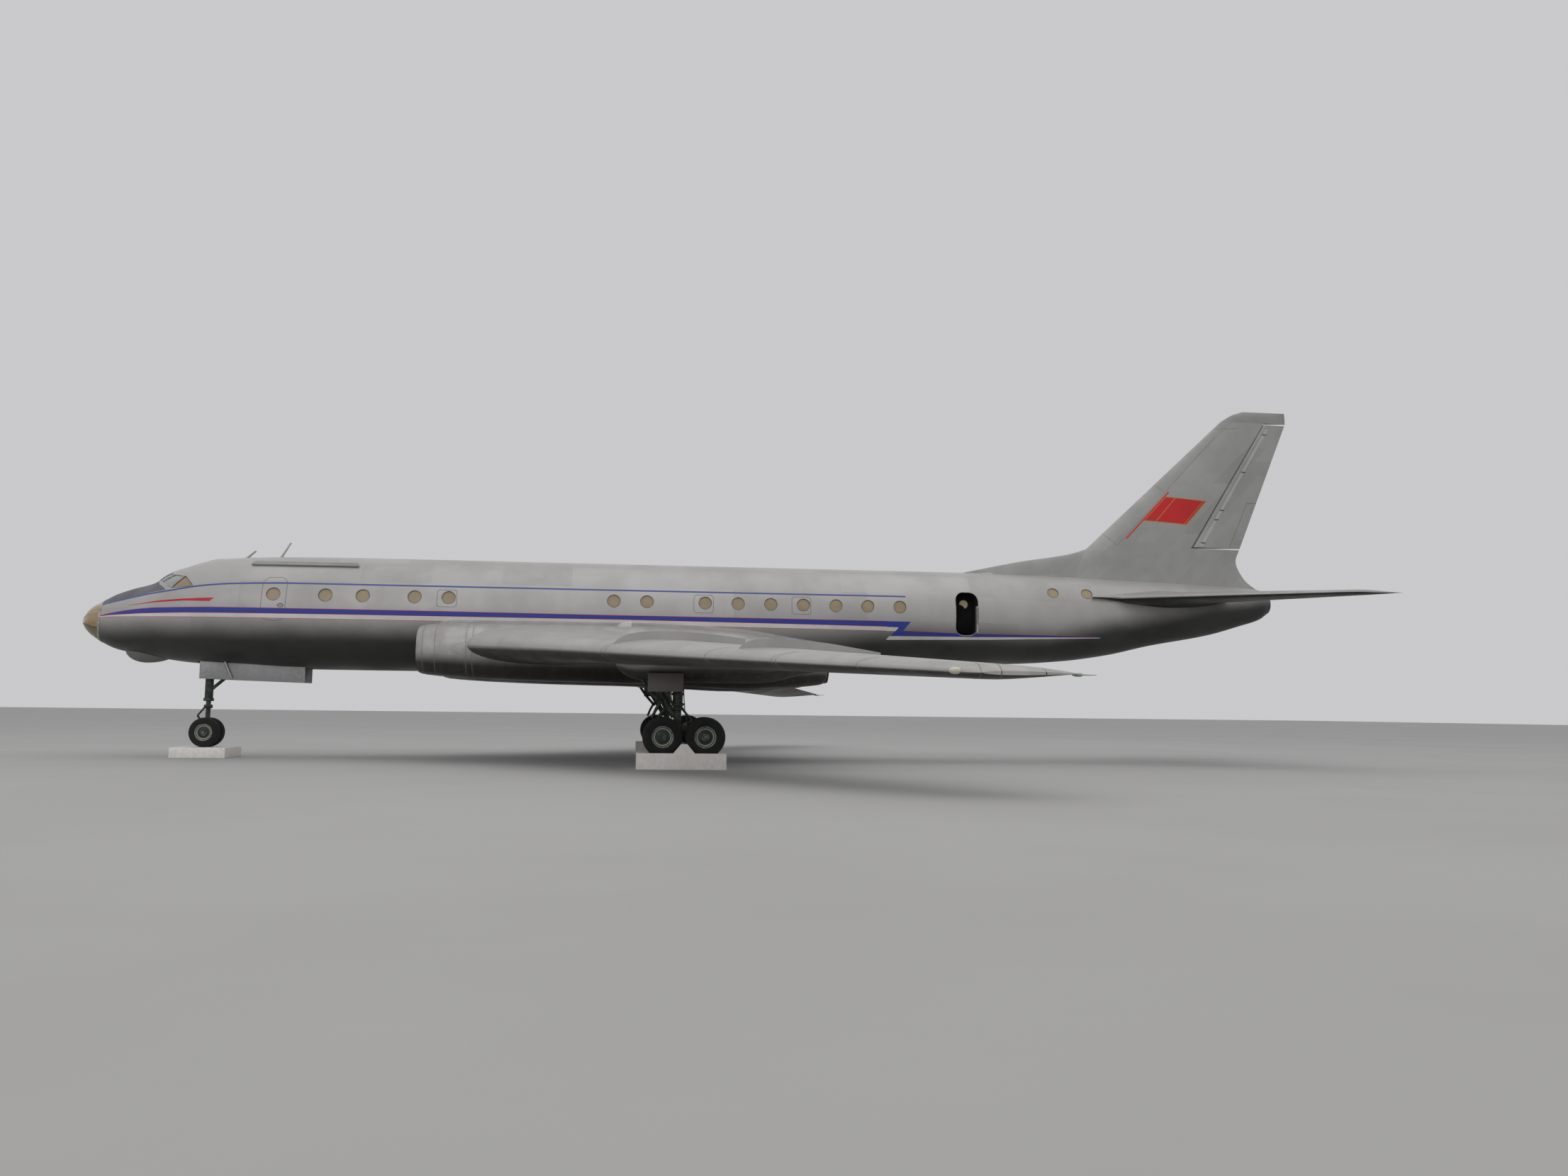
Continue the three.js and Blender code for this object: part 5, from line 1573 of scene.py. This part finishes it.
    spots = []
    for x in (10.62, 11.78, 11.86, 12.04):
        ring = leaning(x, nacelle_ring(x, count=150))
        for (_, y0, z0), (aft, y, z), (_, y1, z1) in zip(ring, ring[1:], ring[2:]):
            if y > 1.95:
                out = Vector((0, z0 - z1, y1 - y0)).normalized()
                out = out if out.y * (y - 2.4) + out.z * (z - 3.28) > 0 else -out
                spots.append(((aft, side * y, z), (0, side * out.y, out.z)))
    studs("nacelle_rivets_" + name, spots, 0.007, 0.003, "seam", "bare_metal", seed=21)


# Undercarriage
def build_pod(name, side):
    curve = curve_through(POD)

    def on_pod(x, t, out=0.0):
        top, bottom, half = curve(x)[0]
        return (x, MAIN_Y + (half + out) * math.sin(t), (top + bottom) / 2 + ((top - bottom) / 2 + out) * math.cos(t))

    xs = stations(16.14, 16.9, 0.06) + stations(16.9, 23.7, 0.15)[1:]
    pod = Shape().loft([[on_pod(x, t) for t in full_turn(56)] for x in xs])
    pod.piece("gear_pod_skin_" + name, "wing", "lower_paint", side, replaces=["gear_pod_" + name], limit=40)
    seams = Shape()
    for t in (math.radians(degrees) for degrees in (122, 180, 238)):
        xs = stations(17.05, 21.4, 0.15)
        seams.loft([[on_pod(x, t + a, out) for a, out in slab(0.012, 0.0018)] for x in xs])
    turns = [math.radians(122 + 116 * k / 24) for k in range(25)]
    for x in (17.05, 18.6, 21.4):
        seams.loft([[on_pod(x + dx, t, out) for dx, out in slab(0.007, 0.0018)] for t in turns])
    seams.piece("gear_pod_seams_" + name, "groove", "dark_metal", side)
    spots = []
    for t in (math.radians(degrees) for degrees in (119, 241)):
        for x, y, z in (on_pod(x, t) for x in stations(17.1, 21.35, 0.12)):
            spots.append(((x, side * y, z), (0, side * math.sin(t), math.cos(t))))
    studs("gear_pod_screws_" + name, spots, 0.009, 0.003, "dark", "dark_metal", seed=31)


RUBBER, PAINTED, HUB, BRIGHT = range(4)


def wheel_profile(radius, width, rim):
    """Outer half of a tyre and wheel: radius, distance outwards from the tyre's middle, and finish"""
    h, wall = width / 2, radius - rim
    dish = [(0.055, .80, HUB), (0.105, .78, HUB), (0.11, .60, HUB), (rim * .52, .52, HUB), (rim * .72, .50, BRIGHT),
            (rim * .745, .66, BRIGHT), (rim * .785, .67, PAINTED), (rim * .88, .66, PAINTED),
            (rim * .93, .80, PAINTED), (rim + 0.006, .86, PAINTED)]
    shoulder = [(rim + 0.004, .84), (rim + 0.03, .93), (rim + wall * .35, .985), (rim + wall * .62, .96),
                (radius * .93, .82), (radius * .975, .66), (radius, .5)]
    for groove in (.42, .16):
        shoulder += [(radius, groove + .05), (radius - 0.012, groove + .03), (radius - 0.012, groove - .03),
                     (radius, groove - .05)]
    return [(r, h * share, mark) for r, share, mark in dish + [(*row, RUBBER) for row in shoulder]]


def build_wheels(piece, node_name, x, y, z, radius, width, rim, twin):
    shape = Shape()
    outer = wheel_profile(radius, width, rim)
    mirror = [(outer[i][0], -outer[i][1], outer[i - 1][2] if i else HUB) for i in reversed(range(len(outer)))]
    cap = [(0, 0.03), (0.04, 0.028), (0.055, 0.0), (0.0, -0.02)]
    spots = []
    for way in (-1, 1):
        rows = [(r, way * twin / 2 + d, m) for r, d, m in outer + mirror]
        shape.turned([(0.0, rows[0][1], HUB)] + rows + [(0.0, rows[-1][1], HUB)], (x, y, z), "Y", 72)
        face = way * (twin / 2 + width / 2 * 0.8)
        shape.turned([(r, d * way) for r, d in cap], (x, y + face, z), "Y", 24, HUB)
        bolt_y = y + way * (twin / 2 + width / 2 * 0.655)
        reach = rim * 0.85
        spots += [((x + reach * math.cos(t), bolt_y, z + reach * math.sin(t)), (0, way, 0)) for t in full_turn(12)]
    shape.bar((x, y - twin / 2, z), (x, y + twin / 2, z), 0.06, sides=32, mark=HUB)
    shape.piece(piece, "tyre wheel hub bright", "tyre", body=node_name, replaces=[node_name], limit=35)
    studs(piece + "_bolts", spots, 0.011, 0.016, "dark", "dark_metal", node_name, 41)


def build_main_gear(name, side):
    x, y = LEG_X, MAIN_Y
    gear = Shape()
    gear.bar((x, y, 1.05), (x, y, 1.62), 0.105, sides=32)
    gear.turned([(0.14, 0), (0.14, 0.8), (0.0, 0.8), (0, 0)], (x, y, 1.62), "Z", 36)
    for z in (1.58, 1.70, 1.98):
        gear.turned([(0.13, 0), (0.175, 0.01), (0.175, 0.07), (0.13, 0.08)], (x, y, z), "Z", 36)
    gear.box(x - 0.15, BOGIE_X + 0.11, y - 0.11, y + 0.11, 0.9873, 1.19)
    gear.bar((17.76, y, 1.4), (17.08, y, 2.52), 0.085, sides=24)
    gear.bar((17.6, y, 1.8), (17.3, y, 1.31), 0.05, sides=20)
    gear.tube([(16.86, y + 0.12, 2.42), (17.1, y + 0.12, 2.08), (17.37, y + 0.12, 1.78)], 0.045, 16)
    gear.tube([(17.37, y + 0.12, 1.8), (17.26, y + 0.12, 1.6), (17.16, y + 0.1, 1.36)], 0.04, 16)
    gear.turned([(0, -0.09), (0.07, -0.08), (0.07, 0.08), (0, 0.09)], (17.37, y + 0.12, 1.79), "Y", 24)
    for way in (-1, 1):
        gear.bar((x - 0.08, y + 0.1 * way, 1.66), (17.3, y + 0.3 * way, 2.45), 0.035, sides=14)
    torque_links(gear, y, [((17.96, 1.64), (18.24, 1.32)), ((18.24, 1.32), (18.08, 1.08))], 0.05, 0.02, 0.032, 0.026)
    gear.bar((18.24, y - 0.07, 1.32), (18.24, y + 0.07, 1.32), 0.03, sides=16)
    hose = [(x + 0.15, 0.06, 2.35), (x + 0.17, 0.07, 1.9), (x + 0.2, 0.09, 1.55), (x + 0.26, 0.1, 1.28),
            (BOGIE_X + 0.12, 0.1, 1.08)]
    gear.tube([(a, y + out, z) for a, out, z in hose], 0.014, 10)
    gear.piece("main_leg_parts_" + name, "gear", "gear_paint", side, replaces=["main_leg_" + name], bevel=0.006)

    outline = [(-0.705, 0.80), (-0.64, 0.74), (0.64, 0.74), (0.705, 0.80), (0.705, 0.92), (0.64, 0.98), (0.2, 0.985),
               (-0.3, 0.985), (-0.64, 0.98), (-0.705, 0.92)]
    beam = Shape().plate([(BOGIE_X + dx, z) for dx, z in outline], y - 0.105, y + 0.105)
    for end, half in (("front", -BOGIE_HALF), ("rear", BOGIE_HALF)):
        hub_x = BOGIE_X + half
        beam.bar((hub_x, y - 0.13, MAIN_HUB_Z), (hub_x, y + 0.13, MAIN_HUB_Z), 0.1, sides=32)
        build_wheels(f"wheel_pair_{end}_{name}", f"wheels_{end}_{name}", hub_x, side * y, MAIN_HUB_Z, *MAIN_WHEEL)
    beam.bar((BOGIE_X - 0.45, y + 0.13, 1.0), (BOGIE_X + 0.45, y + 0.13, 1.0), 0.02, sides=12)
    beam.piece("bogie_beam_" + name, "gear", "gear_paint", side, replaces=["bogie_" + name], bevel=0.008)

    start, end, top, door_y = 17.02, 17.98, 2.555, 6.245
    door = Shape().box(start, end, door_y - 0.013, door_y + 0.013, 2.07, top)
    door.bar((start, door_y, top), (end, door_y, top), 0.02, sides=16)
    for x in (17.27, 17.73):
        door.box(x - 0.025, x + 0.025, y + 0.3, 6.235, 2.41, 2.46)
        door.box(x - 0.02, x + 0.02, 6.2, 6.234, 2.1, 2.47)
    door.piece("leg_door_panel_" + name, "leg_door", "dark_metal", side, replaces=["leg_door_" + name], bevel=0.006)


def torque_links(shape, y, links, wide, narrow, r0, r1):
    """Pairs of tapered links that meet behind a leg"""
    for (x0, z0), (x1, z1) in links:
        for way in (-1, 1):
            shape.bar((x0, y + wide * way, z0), (x1, y + narrow * way, z1), r0, r1, 14)


def build_nose_gear():
    x = NOSE_GEAR_X
    leg = Shape()
    leg.bar((x, 0, 1.7), (x, 0, 3.745), 0.12, sides=32)
    leg.turned([(0.11, 0), (0.15, 0.01), (0.15, 0.09), (0.11, 0.1)], (x, 0, 1.7), "Z", 36)
    leg.bar((x + 0.06, 0, 2.05), (x + 1.75, 0, 3.6), 0.05, sides=20)
    leg.box(x + 1.6, x + 1.9, -0.12, 0.12, 3.53, 3.7497)
    for way in (-1, 1):
        leg.bar((x + 0.02, 0.1 * way, 2.5), (x + 0.1, 0.36 * way, 3.7), 0.03, sides=14)
    leg.piece("nose_leg_parts", "gear", "gear_paint", replaces=["nose_leg"], bevel=0.005)
    fork = Shape()
    fork.bar((x, 0, 0.74), (x, 0, 1.6997), 0.07, sides=32)
    fork.box(x - 0.095, x + 0.095, -0.062, 0.062, 0.662, 0.877)
    fork.turned([(0.07, 0), (0.125, 0.01), (0.125, 0.11), (0.07, 0.12)], (x, 0, 1.48), "Z", 36)
    links = [((x - 0.08, 1.54), (x - 0.30, 1.26)), ((x - 0.30, 1.26), (x - 0.08, 0.95))]
    torque_links(fork, 0, links, 0.035, 0.018, 0.024, 0.02)
    fork.box(x - 0.1, x, -0.035, 0.035, 0.9, 1.0)
    fork.piece("nose_fork_parts", "gear", "gear_paint", body="nose_fork", replaces=["nose_fork"], bevel=0.005)
    build_wheels("nose_wheel_pair", "nose_wheels", x, 0, NOSE_HUB_Z, *NOSE_WHEEL)
    for name, side in SIDES:
        start, end = 3.58, 6.66
        xs = stations(start, end, 0.14)
        outline = [(v, 2.38 - 0.09 * (v - start) / (end - start)) for v in xs] + [(v, 3.0) for v in reversed(xs)]
        door = Shape().plate(outline, 0.422, 0.446)
        for v in (3.9, 4.6, 5.3, 6.0, 6.45):
            door.box(v - 0.02, v + 0.02, 0.40, 0.423, 2.42, 2.78)
        door.piece("nose_door_panel_" + name, "door", "bare_metal", side, replaces=["nose_door_" + name], bevel=0.005)


def build_nose_bay():
    """Ribs, rails and pipes on the walls and roof of the open nose gear bay"""
    x0, x1, half, top = NOSE_BAY
    ribs = Shape()
    for x in stations(x0 + 0.25, x1 - 0.2, 0.38):
        for way in (-1, 1):
            ribs.box(x - 0.012, x + 0.012, *sorted((way * (half - 0.03), way * half)), 3.0, top)
        ribs.box(x - 0.012, x + 0.012, -half, half, top - 0.035, top)
    for y in (-0.26, 0.26):
        ribs.tube([(x0 + 0.1, y, top - 0.06), (x1 - 0.1, y, top - 0.06)], 0.014, 12)
    ribs.piece("nose_bay_ribs", "bay", "lower_paint", bevel=0.002)


def build_screws():
    """Screw rows round the exits, doors and nose ring, and along the wing's joint strips"""
    for name, side in SIDES:
        lines = [outline_rounded(*door, 0.1, side, 0.03) for door in EXITS]
        lines.append(outline_rounded(*FRONT_DOOR, 0.24, side, 0.035))
        if side < 0:
            lines.append(outline_rounded(*DOORWAY_CUT, side, 0.04))
        spots = [on_body(x, a) for line in lines for x, a in line]
        turns = [side * math.pi * (k + 0.5) / 24 for k in range(24)]
        spots += [on_body(glazing_end(t) + 0.03, t) for t in turns]
        ways = body_normals(np.array(spots))
        studs("body_screws_" + name, list(zip(spots, ways)), 0.006, 0.0025, "seam", "bare_metal", seed=51)
        spots = []
        for s in (8.10, 11.45, 13.04, 14.92):
            edge = row_at(WING, s)[1]
            spots += [((x, side * s, skin_height(s, x)), (0, 0, 1)) for x in stations(edge + 0.35, edge + 1.9, 0.09)]
        studs("wing_screws_" + name, spots, 0.007, 0.003, "seam", "bare_metal", seed=61)


def build_plinths():
    for name in ("plinth_left", "plinth_right", "plinth_nose"):
        block = linked(name + "_block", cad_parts[name].data.copy())
        edit = bmesh.new()
        edit.from_mesh(block.data)
        bmesh.ops.remove_doubles(edit, verts=edit.verts, dist=1e-5)
        bmesh.ops.dissolve_limit(edit, angle_limit=0.01, verts=edit.verts, edges=edit.edges)
        edit.to_mesh(block.data)
        edit.free()
        dress(block, "plinth", "plinth_paint", replaces=[name], bevel=0.012)


# Stage
def build_stage():
    floor = Shape().box(AHEAD - 260, AHEAD + 260, -120, 420, -0.2, 0).object("floor")
    ground = weathered("pale_floor", (166, 165, 163), (159, 158, 156), 0.9, dusty=0.0, patch=9, streak=5, grain=0.1)
    floor.data.materials.append(ground.material)
    world = bpy.data.worlds.new("soft_sky")
    bpy.context.scene.world = world
    world.use_nodes = True
    sky = world.node_tree.nodes["Background"]
    sky.inputs["Color"].default_value = tone(200, 200, 202)
    seen = node(world.node_tree, "ShaderNodeLightPath").outputs["Is Camera Ray"]
    wire(world.node_tree, ramp(world.node_tree, seen, 0.0, 1.0, 1.15, 1.0), sky.inputs["Strength"])
    for name, place, size, power in (
        ("overhead_light", (2, -10, 46), 60, 6500),
        ("side_light", (-30, -66, 28), 40, 5200),
    ):
        lamp = bpy.data.lights.new(name, "AREA")
        lamp.size, lamp.energy = size, power
        item = linked(name, lamp)
        item.location = place
        item.rotation_mode = "QUATERNION"
        item.rotation_quaternion = (Vector((0, 0, 3)) - Vector(place)).to_track_quat("-Z", "Y")


SENSOR = 36
FOCAL_LENGTH, PICTURE_WIDTH = 1751.603, 2212


def build_camera():
    yaw, pitch, roll = (math.radians(v) for v in (6.788, 5.653, 0.624))
    ahead = Vector((math.sin(yaw) * math.cos(pitch), math.cos(yaw) * math.cos(pitch), math.sin(pitch)))
    level = Vector((math.cos(yaw), -math.sin(yaw), 0))
    above = level.cross(ahead)
    right = level * math.cos(roll) + above * math.sin(roll)
    up = above * math.cos(roll) - level * math.sin(roll)
    data = bpy.data.cameras.new("camera")
    data.sensor_width = SENSOR
    data.lens = SENSOR * FOCAL_LENGTH / PICTURE_WIDTH
    data.clip_end = 900
    camera = linked("camera", data)
    turn = Matrix((right, up, -ahead)).transposed()
    camera.matrix_world = Matrix.Translation((16.672 - AHEAD, -39.944, 1.592)) @ turn.to_4x4()
    bpy.context.scene.camera = camera


for build in (build_camera, build_stage, build_fuselage, build_body_trim, build_nose_glazing, build_cockpit_trim,
              build_radome, build_roof, build_fin, build_nose_gear, build_nose_bay, build_screws, build_plinths):
    build()
for build in (build_wing, build_tailplane, build_nacelle, build_pod, build_main_gear):
    for side_name, side_sign in SIDES:
        build(side_name, side_sign)
bpy.context.scene.view_settings.view_transform = "Standard"
